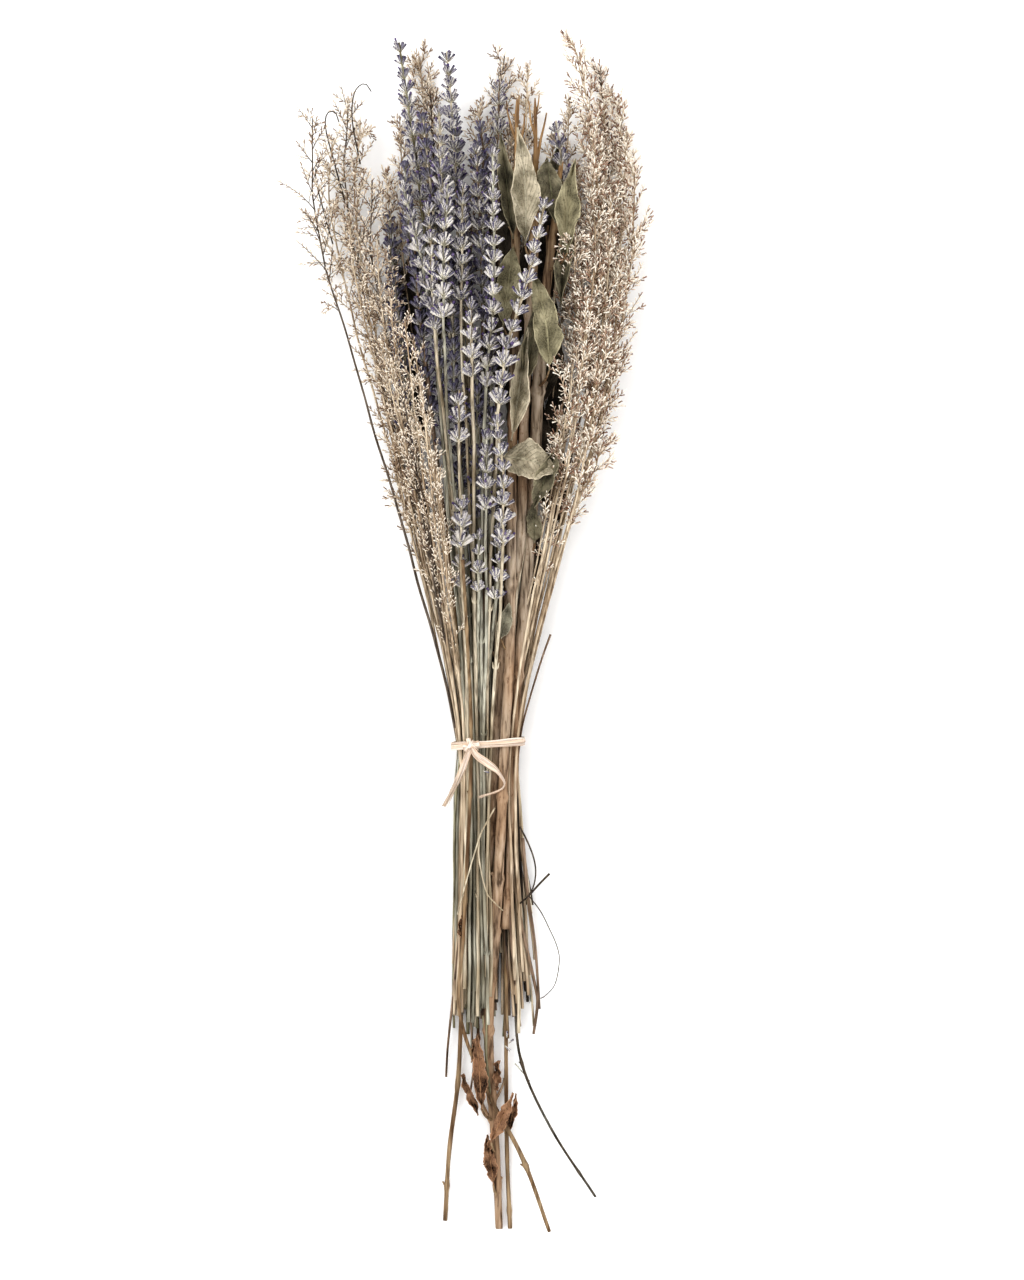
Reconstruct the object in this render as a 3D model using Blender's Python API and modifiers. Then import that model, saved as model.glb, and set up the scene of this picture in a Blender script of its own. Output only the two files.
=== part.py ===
# A bunch of dried flowers lying on its side: lavender, sea lavender and leafy
# twigs, tied once round the middle with raffia. The flower heads point to +Y,
# the cut ends to -Y, and the side that is seen faces +Z.
import math
import random

import bmesh
import bpy
from mathutils import Vector

BUNCH = "dried_flower_bunch"
MM = 0.001

# The tie, millimetres
TIE_Y = -52.0
TIE_SLANT = 0.07
BAND_WIDTH = 4.6
BAND_THICK = 0.6
BAND_ANGLES = 360
BAND_STEP = 0.6
BAND_REACH = 8.0
KNOT_AT = (-2.0, -0.6)
KNOT_HALF = (4.2, 3.4, 1.9)
TAIL_WIDTH = 4.0
TAIL_THICK = 0.5

# Stems, millimetres
CLEAR = 0.45
STEM_STEP = 36.0
LAVENDER_STEM = 0.95
SEPAL_RING = 4.3
SPIKE_CORE = 1.9
WHORL_STEP = 9.0
SPRAY_STEM = 0.95
SPRAY_TIP = 0.55
FORK_STEP = 13.0
FORK_LENGTH = 1.3
FORK_RISE = 0.42
LEAF_THICK = 0.6

# What is already laid down is kept as heights on a grid over the ground
CELL_X = 0.5
CELL_Y = 2.0

# How finely the bunch is looked at when its pieces are moved apart, how much
# rather a piece moves up or down than sideways, the share of an overlap that is
# taken out at a time, the pull back home sideways and upwards, and the rounds
# at the end without that pull
SAMPLE = 7.5
SLIP_COST = 3.0
SHOVE_SHARE = 0.3
HOME_PULL = (0.05, 0.02)
FREE_ROUNDS = 30

# Each lavender: (x, y) from the tip down to the lowest whorl, x at the tie,
# (x, y) of the cut end, then the height wanted at the tip, tie and cut end.
BACK_LAVENDER = [
    ([(-43, 204), (-40, 180), (-36, 140)], -7.5, (-7, -190), (7, 5, 2)),
    ([(12.5, 282), (11.5, 228)], 9, (10, -188), (13, 6, 3)),
    ([(-37.5, 301), (-34, 270), (-27, 218)], -4, (-4, -200), (20, 8, 3)),
    ([(-14.5, 296), (-9.5, 228)], 2, (1, -182), (24, 9, 4)),
    ([(40, 260), (42.5, 250), (45, 228)], 17, (19, -176), (32, 10, 5)),
    ([(0, 247), (3, 195)], 4, (3, -192), (36, 12, 6)),
    ([(-18.5, 263), (-15, 205)], -1, (-2, -178), (38, 13, 7)),
    ([(-23, 215), (-19, 150)], -3, (-6, -186), (42, 14, 8)),
    ([(-6, 225), (-6.5, 165)], 1, (0, -196), (44, 15, 9)),
    ([(-35, 226), (-30.5, 206), (-22, 165)], -5, (-8, -180), (42, 15, 9)),
]
FRONT_LAVENDER = [
    ([(-14, 226), (-15.5, 158)], -2.5, (-4, -193), (50, 18, 10)),
    ([(-7.5, 124), (-7.5, 98)], -4.5, (-5, -184), (44, 18, 10)),
    ([(-2, 166), (-1.5, 128)], 1, (2, -190), (48, 18, 11)),
    ([(9, 240), (10.5, 182), (8, 161), (5, 121)], 3, (4, -186), (54, 19, 11)),
    ([(36, 219), (35, 203), (25, 175), (16, 145), (11, 112)], 6, (8, -180), (56, 19, 12)),
    ([(-6, 72), (-7, 42)], -3.5, (-6, -176), (43, 19, 12)),
    ([(6, 101), (6, 62)], 4.5, (6, -194), (42, 19, 12)),
    ([(11, 113), (13, 89), (16, 66), (14, 46)], 8, (5, -170), (46, 20, 12)),
]

# Each spray of sea lavender: (x, y) from the tip down to its lowest fork, x at
# the tie, (x, y) of the cut end, the reach of its forks, and the heights.
BACK_SPRAYS = [
    ([(-29, 297), (-25, 262), (-24, 222)], -5, (-2, -172), 6.5, (3, 3, 2)),
    ([(14.5, 297), (12, 268), (8, 214)], 7, (7, -185), 6.5, (3, 3, 2)),
    ([(63, 290), (68, 250), (64, 170)], 20, (23, -176), 7.5, (4, 4, 2)),
    ([(26, 288), (26, 250), (24, 196)], 13, (15, -180), 6.5, (6, 4, 3)),
    ([(-65, 274), (-67, 240), (-56, 172)], -8, (-6, -186), 8.5, (8, 6, 3)),
    ([(72, 272), (73, 230), (64, 150)], 22, (27, -170), 7.5, (14, 8, 4)),
    ([(80, 236), (81, 210), (74, 160), (67, 126)], 22, (30, -162), 7.5, (32, 11, 5)),
    ([(48.5, 300), (57, 272), (62, 220), (57, 164)], 19, (21, -184), 7.5, (34, 11, 6)),
    ([(-81, 262), (-82, 235), (-80, 208), (-67, 160)], -9, (-9, -172), 7.0, (26, 12, 5)),
    ([(72, 144), (65, 116), (55, 88)], 21, (27, -180), 6.5, (26, 13, 6)),
    ([(-52, 230), (-53, 195), (-42, 145)], -7, (-8, -190), 8.0, (34, 14, 7)),
    ([(66, 100), (58, 86), (50, 68)], 21, (24, -168), 5.5, (28, 15, 8)),
    ([(50, 200), (51, 160), (44, 100)], 18, (20, -172), 7.0, (46, 16, 9)),
]
FRONT_SPRAYS = [
    ([(-42, 172), (-37, 130), (-26, 72)], -7.5, (-9, -182), 6.5, (44, 18, 9)),
    ([(-30, 150), (-24, 100), (-15, 46)], -5.5, (-7, -188), 6.0, (44, 19, 10)),
]

# Each woody leafy branch: (x, y, radius) from the cut top to the cut foot, and
# the height wanted at the top, the tie and the foot.
BRANCHES = [
    ([(42.5, 237, 2.3), (41, 220, 2.6), (36, 180, 3.0), (33, 150, 2.8), (30.5, 105, 3.1),
      (27.5, 48, 2.8), (22.5, -6, 2.9), (19, -52, 2.6), (18.5, -94, 2.4), (15, -146, 2.2)],
     (34, 14, 8)),
    ([(30, 270, 1.6), (30, 211, 2.4), (25, 120, 2.6), (21, 30, 2.7), (15, 6, 2.5),
      (10.5, -49, 2.5), (8, -94, 2.6), (4, -154, 2.4), (2.5, -178, 2.1)],
     (40, 16, 10)),
    ([(21, 270, 1.9), (20, 170, 2.3), (18.5, 70, 2.5), (17, -17, 2.6), (15, -49, 2.4),
      (13, -94, 2.5), (10.5, -138, 2.8), (6.5, -197, 2.5), (9, -242, 2.2), (11.5, -279, 1.9),
      (12, -299, 1.8)],
     (36, 18, 3)),
]

# Thin bare twigs that run past the cut ends of the flowers, listed like the
# branches.
TWIGS = [
    ([(15, 40, 0.8), (16, -52, 1.0), (15.5, -209, 1.0), (16, -263, 1.1), (17.5, -299, 1.1)],
     (16, 9, 2)),
    ([(8, 30, 0.5), (17, -52, 0.7), (19.5, -130, 0.7), (21.5, -206, 0.7), (29, -228, 0.7),
      (48, -266, 0.6), (61, -283, 0.6)],
     (20, 10, 2)),
    ([(-14, 60, 0.8), (-6, -52, 1.0), (-6, -130, 1.0), (-8, -207, 1.1), (-11, -246, 1.2),
      (-15.5, -272, 1.1), (-15.5, -295, 1.1)],
     (24, 12, 2)),
    ([(-6, 40, 0.8), (-2, -52, 0.9), (-6, -150, 0.9), (-7, -202, 0.9), (6.5, -229, 0.9),
      (22, -258, 1.2), (37.5, -300, 0.9)],
     (42, 21, 6)),
]

# Each leaf: foot (x, y), tip (x, y), width, how far the edges turn up, how far
# the tip lifts, how far the blade twists in degrees, and the height wanted.
LEAVES = [
    ((19, 202), (13, 250), 10, 2.0, 1.5, 8, 44),
    ((24, 198), (22, 253), 13, 1.2, 2.5, -6, 46),
    ((36, 240), (38, 210), 12, 1.5, -2.0, 5, 45),
    ((46, 196), (49, 236), 11, 2.2, 1.0, 10, 48),
    ((46, 208), (44, 170), 9, 1.6, -1.5, -8, 44),
    ((14, 160), (18, 194), 12, 1.5, 1.0, 6, 40),
    ((37, 134), (30, 182), 15, 1.8, 2.0, -8, 46),
    ((19, 102), (26, 154), 13, 1.4, 1.5, 6, 36),
    ((30, 50), (29, 68), 8, 1.2, 1.0, 5, 26),
    ((14, 91), (41, 83), 21, 2.4, 1.5, 12, 34),
    ((13, 2), (17, 18), 8, 1.0, 1.0, -5, 25),
]
# The brown leaves left low on the longest branch, listed the same way.
DRY_LEAVES = [
    ((3, -236), (1, -198), 9, 2.6, 2.0, 25, 12),
    ((8, -254), (19, -228), 8, 2.4, 1.5, -30, 10),
    ((9, -276), (6, -250), 8, 2.2, 1.0, 20, 8),
]

PAINTS = {
    "lavender": (0.36, 0.36, 0.50),
    "sea_lavender": (0.62, 0.48, 0.38),
    "bark": (0.40, 0.28, 0.20),
    "twig": (0.45, 0.40, 0.28),
    "leaf": (0.44, 0.44, 0.32),
    "dry_leaf": (0.33, 0.18, 0.11),
    "raffia": (0.88, 0.76, 0.60),
}


# ---- heights of what lies below ------------------------------------------------

heap = {}


def ground(y):
    # under the tie the stems lie on the band, not on the ground
    return BAND_THICK + CLEAR if abs(y - TIE_Y) < BAND_REACH else 0.0


def height_at(column, row):
    return heap.get((column, row), ground(row * CELL_Y))


def cover(column, row, height):
    if height > height_at(column, row):
        heap[column, row] = height


def between(knots, y):
    # linear value of y-sorted (y, value) pairs
    if y <= knots[0][0]:
        return knots[0][1]
    for (y0, v0), (y1, v1) in zip(knots, knots[1:]):
        if y <= y1:
            return v0 + (v1 - v0) * (y - y0) / (y1 - y0)
    return knots[-1][1]


def smooth_between(knots, y):
    # the same as a smooth curve through the pairs
    ys = [k[0] for k in knots]
    if y <= ys[0] or y >= ys[-1] or len(knots) < 3:
        return between(knots, y)
    i = max(n for n in range(len(knots) - 1) if ys[n] <= y)

    def slope(n):
        lo, hi = max(0, n - 1), min(len(knots) - 1, n + 1)
        return (knots[hi][1] - knots[lo][1]) / (ys[hi] - ys[lo])

    span = ys[i + 1] - ys[i]
    t = (y - ys[i]) / span
    return ((2 * t ** 3 - 3 * t ** 2 + 1) * knots[i][1] + (3 * t ** 2 - 2 * t ** 3) * knots[i + 1][1]
            + (t ** 3 - 2 * t ** 2 + t) * span * slope(i) + (t ** 3 - t ** 2) * span * slope(i + 1))


def strand(line, halves, thicks, wanted, step=STEM_STEP):
    # One long piece of the bunch. line: y-sorted (y, x) of its course; halves and
    # thicks: y-sorted (y, half width) and (y, half height) of the room it takes;
    # wanted: y-sorted (y, height). Its joints are [x, y, z], foot first.
    foot, tip = line[0][0], line[-1][0]
    count = max(1, round((tip - foot) / step))
    joints = [[0.0, foot + (tip - foot) * n / count, 0.0] for n in range(count + 1)]
    for joint in joints:
        joint[0] = smooth_between(line, joint[1])
        joint[2] = between(wanted, joint[1])
    return {"joints": joints, "home": [tuple(j) for j in joints], "halves": halves,
            "thicks": thicks}


def part_ways(strands, rounds=200):
    # Moves the strands apart until no two want the same room, mostly up and down,
    # each held lightly by the place it was given.
    slots = {}
    for one in strands:
        joints = one["joints"]
        for k in range(len(joints) - 1):
            low, high = joints[k][1], joints[k + 1][1]
            lean = math.hypot(1.0, (joints[k + 1][0] - joints[k][0]) / (high - low))
            first = math.ceil(low / SAMPLE) if k else math.floor(low / SAMPLE)
            last = math.floor(high / SAMPLE) if k < len(joints) - 2 else math.ceil(high / SAMPLE)
            for row in range(first, last + 1):
                y = min(max(row * SAMPLE, low), high)
                slots.setdefault(row, []).append(
                    (one, k, (y - low) / (high - low), between(one["halves"], y) * lean,
                     between(one["thicks"], y),
                     one["home"][k][2] + (one["home"][k + 1][2] - one["home"][k][2])
                     * (y - low) / (high - low)))

    def shove(one, k, t, axis, amount):
        one["joints"][k][axis] += amount * (1.0 - t)
        one["joints"][k + 1][axis] += amount * t

    for turn in range(rounds):
        for row, here in slots.items():
            places = []
            for one, k, t, half, thick, home in here:
                a, b = one["joints"][k], one["joints"][k + 1]
                x, z = a[0] + (b[0] - a[0]) * t, a[2] + (b[2] - a[2]) * t
                low = ground(row * SAMPLE) + thick - z
                if low > 0.0:
                    shove(one, k, t, 2, low)
                    z += low
                places.append((x, z))
            for i, (one, k, t, half, thick, home) in enumerate(here):
                x, z = places[i]
                for j in range(i + 1, len(here)):
                    other, k2, t2, half2, thick2, home2 = here[j]
                    wide, tall = half + half2 + CLEAR, thick + thick2 + CLEAR
                    dx, dz = (places[j][0] - x) / wide, (places[j][1] - z) / tall
                    if other is one or dx * dx + dz * dz >= 1.0:
                        continue
                    up = 1.0 if home2 > home else -1.0
                    rise = (math.sqrt(1.0 - min(dx * dx, 1.0)) - up * dz) * tall
                    slip = (math.sqrt(1.0 - min(dz * dz, 1.0)) - abs(dx)) * wide
                    if rise <= slip * SLIP_COST:
                        shove(one, k, t, 2, -SHOVE_SHARE * up * rise)
                        shove(other, k2, t2, 2, SHOVE_SHARE * up * rise)
                    else:
                        way = 1.0 if dx > 0 else -1.0
                        shove(one, k, t, 0, -SHOVE_SHARE * way * slip)
                        shove(other, k2, t2, 0, SHOVE_SHARE * way * slip)
        if turn < rounds - FREE_ROUNDS:
            for one in strands:
                for joint, home in zip(one["joints"], one["home"]):
                    joint[0] += (home[0] - joint[0]) * HOME_PULL[0]
                    joint[2] += (home[2] - joint[2]) * HOME_PULL[1]


def settle(one):
    # adds a strand to the heights that the tie is laid over
    for a, b in zip(one["joints"], one["joints"][1:]):
        for row in range(math.floor(a[1] / CELL_Y), math.ceil(b[1] / CELL_Y) + 1):
            y = row * CELL_Y
            t = (y - a[1]) / (b[1] - a[1])
            x, z = a[0] + (b[0] - a[0]) * t, a[2] + (b[2] - a[2]) * t
            half, thick = between(one["halves"], y) + 0.4, between(one["thicks"], y)
            for column in range(math.ceil((x - half) / CELL_X), math.floor((x + half) / CELL_X) + 1):
                off = (column * CELL_X - x) / half
                cover(column, row, z + thick * math.sqrt(max(0.0, 1.0 - off * off)))


def point_on(points, y):
    return Vector([between([(p[1], p[axis]) for p in points], y) for axis in range(3)])


# ---- making objects --------------------------------------------------------------

def paint(kind):
    material = bpy.data.materials.get(kind) or bpy.data.materials.new(kind)
    material.use_nodes = True
    shader = material.node_tree.nodes["Principled BSDF"]
    shader.inputs["Base Color"].default_value = (*PAINTS[kind], 1.0)
    shader.inputs["Roughness"].default_value = 0.85
    return material


def add_object(name, mesh, kind):
    mesh.materials.append(paint(kind))
    made = bpy.data.objects.new(name, mesh)
    bpy.data.collections[BUNCH].objects.link(made)
    return made


def from_bmesh(name, bm, kind):
    # closes the foot that growing left open
    bmesh.ops.holes_fill(bm, edges=[e for e in bm.edges if e.is_boundary], sides=0)
    bmesh.ops.recalc_face_normals(bm, faces=bm.faces)
    bmesh.ops.scale(bm, vec=(MM, MM, MM), verts=bm.verts)
    mesh = bpy.data.meshes.new(name)
    bm.to_mesh(mesh)
    bm.free()
    return add_object(name, mesh, kind)


def push(bm, face, centre, radius):
    # extrudes a face to a new centre and size, and gives the new face
    face = bmesh.ops.extrude_discrete_faces(bm, faces=[face])["faces"][0]
    old = face.calc_center_median()
    size = max((v.co - old).length for v in face.verts)
    for v in face.verts:
        v.co = centre + (v.co - old) * (radius / size)
    return face


def start_stem(bm, centre, radius, sides):
    turn = math.pi / sides
    ring = [bm.verts.new(centre + Vector((math.sin(turn + 2 * math.pi * n / sides), 0.0,
                                          math.cos(turn + 2 * math.pi * n / sides))) * radius)
            for n in range(sides)]
    return bm.faces.new(ring)


def grow(name, rings, kind, sides=6):
    # a stem of any section sizes through (point, radius) rings, foot first
    bm = bmesh.new()
    cap = start_stem(bm, *rings[0], sides)
    for centre, radius in rings[1:]:
        cap = push(bm, cap, centre, radius)
    return from_bmesh(name, bm, kind)


def plan_lavender(spike, tie_x, butt, heights):
    tip_y, base_y = spike[0][1], spike[-1][1]
    line = sorted([(y, x) for x, y in spike] + [(TIE_Y, tie_x), (butt[1], butt[0])])
    room = [(butt[1], LAVENDER_STEM), (base_y - 6, LAVENDER_STEM), (base_y, SEPAL_RING),
            (tip_y, SEPAL_RING * 0.7)]
    return strand(line, room, room, [(butt[1], heights[2]), (TIE_Y, heights[1]), (tip_y, heights[0])])


def lavender(name, plan, spike, *_):
    # a straight stem that ends in a spike of whorled calyces
    tip_y, base_y = spike[0][1], spike[-1][1]
    points = plan["joints"]
    rings = [(Vector(p), LAVENDER_STEM) for p in points if p[1] < base_y - 5]
    rings.append((point_on(points, base_y - 4), LAVENDER_STEM))
    whorls = max(2, round((tip_y - base_y) / WHORL_STEP))
    for n in range(whorls):
        y = base_y + (tip_y - base_y) * (n + 0.35) / whorls
        size = SEPAL_RING * (1.0 - 0.45 * (n / whorls) ** 2)
        rings.append((point_on(points, y), size))
        if n < whorls - 1:
            rings.append((point_on(points, y + (tip_y - base_y) * 0.6 / whorls), SPIKE_CORE))
    rings.append((point_on(points, tip_y), 1.0))
    grow(name, rings, "lavender")


def plan_sea_lavender(plume, tie_x, butt, reach, heights):
    tip_y, base_y = plume[0][1], plume[-1][1]
    line = sorted([(y, x) for x, y in plume] + [(TIE_Y, tie_x), (butt[1], butt[0])])

    def room(most):
        return [(butt[1], SPRAY_STEM), (base_y - 4, SPRAY_STEM), (base_y + 12, most),
                (tip_y - 14, most), (tip_y, most * 0.5)]
    return strand(line, room(reach), room(reach * FORK_RISE),
                  [(butt[1], heights[2]), (TIE_Y, heights[1]), (tip_y, heights[0])])


def sea_lavender(name, plan, plume, tie_x, butt, reach, heights):
    # a thin stem that forks to both sides, each fork ending in a tuft
    rng = random.Random(name)
    tip_y, base_y = plume[0][1], plume[-1][1]
    points = plan["joints"]
    bm = bmesh.new()
    cap = start_stem(bm, Vector(points[0]), SPRAY_STEM, 4)
    for p in points[1:]:
        if p[1] < base_y - 1:
            cap = push(bm, cap, Vector(p), SPRAY_STEM)
    forks = round((tip_y - 12 - base_y) / FORK_STEP)
    for n in range(forks + 1):
        y = base_y + (tip_y - 12 - base_y) * n / forks
        thick = SPRAY_STEM + (SPRAY_TIP - SPRAY_STEM) * n / forks
        cap = push(bm, cap, point_on(points, y), thick)
        before = set(bm.faces)
        centre = point_on(points, y + FORK_LENGTH)
        cap = push(bm, cap, centre, thick)
        sides = sorted((f for f in bm.faces if f not in before and f is not cap),
                       key=lambda f: f.calc_center_median().x)
        room = between(plan["halves"], y + 9) - 1.6
        lift = room * FORK_RISE
        for side, face in ((-1, sides[0]), (1, sides[-1])):
            out = centre + Vector((side * room * 0.42, 3.0, rng.uniform(-0.3, 0.3) * lift))
            face = push(bm, face, out, 0.55)
            out = centre + Vector((side * room * rng.uniform(0.75, 0.9), 7.5,
                                   rng.uniform(-0.35, 0.35) * lift))
            face = push(bm, face, out, 1.25)
            push(bm, face, out + Vector((side * 0.5, 2.6, 0.0)), 0.5)
    push(bm, push(bm, cap, point_on(points, tip_y - 4), 1.3), point_on(points, tip_y), 0.5)
    from_bmesh(name, bm, "sea_lavender")


def plan_woody(stops, heights):
    line = sorted((y, x) for x, y, _ in stops)
    room = sorted((y, r) for _, y, r in stops)
    return strand(line, room, room, [(line[0][0], heights[2]), (TIE_Y, heights[1]),
                                     (line[-1][0], heights[0])])


def woody(name, plan, kind):
    rings = [(Vector(p), between(plan["halves"], p[1])) for p in plan["joints"]]
    grow(name, rings, kind, 8 if kind == "bark" else 6)


def sheet(name, rows, thick, kind, ring=False):
    # a grid of points skinned with quads, then thickened evenly
    wide = len(rows[0])
    count = len(rows)
    faces = [[r * wide + c, r * wide + c + 1, (r + 1) % count * wide + c + 1, (r + 1) % count * wide + c]
             for r in range(count if ring else count - 1) for c in range(wide - 1)]
    mesh = bpy.data.meshes.new(name)
    mesh.from_pydata([Vector(p) * MM for row in rows for p in row], [], faces)
    made = add_object(name, mesh, kind)
    thicken = made.modifiers.new("thickness", "SOLIDIFY")
    thicken.thickness = thick * MM
    thicken.offset = 0.0
    thicken.use_even_offset = True
    return made


def plan_leaf(foot, tip, width, cup, lift, twist, height):
    # the room a leaf takes, as a flat strand along Y
    lean = width / 2 * abs(tip[0] - foot[0]) / math.dist(foot, tip)
    low, high = sorted((foot, tip), key=lambda p: p[1])
    half = width / 2 * abs(tip[1] - foot[1]) / math.dist(foot, tip) + lean
    line = [(low[1] - lean - 1, low[0]), (high[1] + lean + 1, high[0])]
    tilt = abs(math.sin(math.radians(twist))) * width / 4
    thick = (abs(cup) + abs(lift)) / 2 + LEAF_THICK + tilt
    if abs(tip[0] - foot[0]) > abs(tip[1] - foot[1]):
        middle, half = (foot[0] + tip[0]) / 2, abs(tip[0] - foot[0]) / 2
        line = [(y, middle) for y, _ in line]
    ends = [(line[0][0], half * 1.15), (line[1][0], half * 1.15)]
    return strand(line, ends, [(y, thick * 1.2) for y, _ in line], [(y, height) for y, _ in line], 400)


def leaf(name, plan, foot, tip, width, cup, lift, twist, height, kind="leaf", steps=8, across=4):
    # a pointed oval blade on a short stalk, its edges turned up
    low, high = plan["joints"][0], plan["joints"][-1]

    def on_plan(x, y):
        share = (y - low[1]) / (high[1] - low[1])
        slide = (low[0] + high[0] - plan["home"][0][0] - plan["home"][-1][0]) / 2
        return Vector((x + slide, y, low[2] + (high[2] - low[2]) * share))

    foot, tip = on_plan(*foot), on_plan(*tip)
    along = tip - foot
    side = Vector((along.y, -along.x, 0.0)).normalized()
    rows = []
    for n in range(steps + 1):
        t = n / steps
        half = width / 2 * math.sin(math.pi * (0.06 + 0.92 * t) ** 0.85) ** 0.8 + 0.35
        turn = math.radians(twist) * (t - 0.4)
        row = []
        for c in range(across + 1):
            off = 2.0 * c / across - 1.0
            bend = cup * (off * off * (half / (width / 2)) ** 2 - 0.5)
            arch = lift * (math.sin(math.pi * t / 2) ** 2 - 0.5)
            row.append(foot + along * t + side * off * half * math.cos(turn)
                       + Vector((0, 0, bend + arch + off * half * math.sin(turn))))
        rows.append(row)
    sheet(name, rows, LEAF_THICK, kind)


# ---- the raffia tie ------------------------------------------------------------------

def taut_outline(stems):
    # the loop of a band pulled tight round all the stems at the tie
    discs = []
    for one in stems:
        for step in (-1.0, -0.5, 0.0, 0.5, 1.0):
            p = point_on(one["joints"], TIE_Y + BAND_WIDTH * step)
            radius = between(one["halves"], p.y)
            discs.append((p.x, p.z, radius + CLEAR + BAND_THICK / 2))
    loop = []
    for n in range(BAND_ANGLES):
        angle = 2 * math.pi * n / BAND_ANGLES
        ux, uz = math.cos(angle), math.sin(angle)
        x, z, r = max(discs, key=lambda d: d[0] * ux + d[1] * uz + d[2])
        point = (x + r * ux, max(z + r * uz, BAND_THICK / 2))
        if not loop or min(math.dist(point, loop[-1]), math.dist(point, loop[0])) > BAND_STEP:
            loop.append(point)
    return loop


def raffia_band(stems):
    loop = taut_outline(stems)
    rows = [[Vector((x, TIE_Y + TIE_SLANT * (x - 7.0) + BAND_WIDTH * (c / 2 - 0.5), z))
             for c in range(3)] for x, z in loop]
    for row in rows:
        for p in row:
            for step in range(-4, 5):
                cover(round(p.x / CELL_X) + step, round(p.y / CELL_Y), p.z + BAND_THICK)
    return sheet("raffia_band", rows, BAND_THICK, "raffia", ring=True)


def raffia_knot():
    # the flat knot of the two crossing ends
    x, y = KNOT_AT[0], TIE_Y + KNOT_AT[1]
    below = max(height_at(round(x / CELL_X) + dx, round(y / CELL_Y) + dy)
                for dx in range(-7, 8) for dy in range(-2, 3))
    z = below + KNOT_HALF[2] + CLEAR
    bm = bmesh.new()
    bmesh.ops.create_uvsphere(bm, u_segments=12, v_segments=8, radius=1.0)
    bmesh.ops.scale(bm, vec=KNOT_HALF, verts=bm.verts)
    bmesh.ops.translate(bm, vec=(x, y, z), verts=bm.verts)
    for dx in range(-8, 9):
        for dy in range(-2, 3):
            cover(round(x / CELL_X) + dx, round(y / CELL_Y) + dy, z + KNOT_HALF[2])
    return from_bmesh("raffia_knot", bm, "raffia")


def raffia_tail(name, line, widths):
    # a flat end of raffia draped over the stems
    rows = []
    count = len(line) - 1
    steps = count * 3
    for n in range(steps + 1):
        at = n / steps * count
        i = min(int(at), count - 1)
        p = Vector((*line[i], 0.0)).lerp(Vector((*line[i + 1], 0.0)), at - i)
        heading = (Vector((*line[i + 1], 0.0)) - Vector((*line[i], 0.0))).normalized()
        side = Vector((heading.y, -heading.x, 0.0))
        half = (widths[0] + (widths[1] - widths[0]) * n / steps) / 2
        rows.append([p - side * half, p, p + side * half])
    need = []
    for row in rows:
        low = 0.0
        for p in row:
            for dx in (-2, -1, 0, 1, 2):
                for dy in (-1, 0, 1):
                    low = max(low, height_at(round(p.x / CELL_X) + dx, round(p.y / CELL_Y) + dy))
        need.append(low + TAIL_THICK / 2 + CLEAR)
    for _ in range(12):
        need = [max(z, (a + b) / 2) for z, a, b in zip(need, need[:1] + need, need[1:] + need[-1:])]
    for row, z in zip(rows, need):
        for p in row:
            p.z = z
    return sheet(name, rows, TAIL_THICK, "raffia")


# ---- the bunch ---------------------------------------------------------------------------

def clear_scene():
    for old in list(bpy.data.objects):
        bpy.data.objects.remove(old, do_unlink=True)
    home = bpy.data.collections.new(BUNCH)
    bpy.context.scene.collection.children.link(home)


def set_down():
    # centres the bunch over the origin with its lowest point on the ground
    bpy.context.view_layer.update()
    made = list(bpy.data.collections[BUNCH].objects)
    corners = [Vector(c) for ob in made for c in ob.bound_box]
    middle = Vector([(min(c[a] for c in corners) + max(c[a] for c in corners)) / 2 for a in (0, 1)]
                    + [min(c.z for c in corners)])
    for ob in made:
        for v in ob.data.vertices:
            v.co -= middle


def put_together():
    # every piece in the bunch: its name, how it is made, and the room it takes
    pieces = []
    for n, row in enumerate(BACK_LAVENDER + FRONT_LAVENDER, 1):
        pieces.append((f"lavender_{n:02d}", lavender, plan_lavender(*row), row))
    for n, row in enumerate(BACK_SPRAYS + FRONT_SPRAYS, 1):
        pieces.append((f"sea_lavender_{n:02d}", sea_lavender, plan_sea_lavender(*row), row))
    for n, row in enumerate(BRANCHES, 1):
        pieces.append((f"leaf_branch_{n:02d}", woody, plan_woody(*row), ("bark",)))
    for n, row in enumerate(TWIGS, 1):
        pieces.append((f"twig_{n:02d}", woody, plan_woody(*row), ("twig",)))
    stems = [plan for _, _, plan, _ in pieces]
    for n, row in enumerate(LEAVES, 1):
        pieces.append((f"leaf_{n:02d}", leaf, plan_leaf(*row), row))
    for n, row in enumerate(DRY_LEAVES, 1):
        pieces.append((f"dry_leaf_{n:02d}", leaf, plan_leaf(*row), (*row, "dry_leaf", 6)))

    part_ways([plan for _, _, plan, _ in pieces])
    for name, make, plan, row in pieces:
        make(name, plan, *row)
        settle(plan)

    raffia_band(stems)
    raffia_knot()
    raffia_tail("raffia_tail_left", [(-3.5, -57), (-7, -66), (-11, -75), (-16, -84)],
                (TAIL_WIDTH, 2.4))
    raffia_tail("raffia_tail_right", [(0.5, -57.5), (6, -62), (11, -66), (14.5, -71), (12, -75),
                                      (6, -77.5), (1.5, -79)], (TAIL_WIDTH, 1.8))


clear_scene()
put_together()
set_down()
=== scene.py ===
import math
import random

import bpy
import numpy as np
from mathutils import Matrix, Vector
from mathutils.geometry import convex_hull_2d


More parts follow.
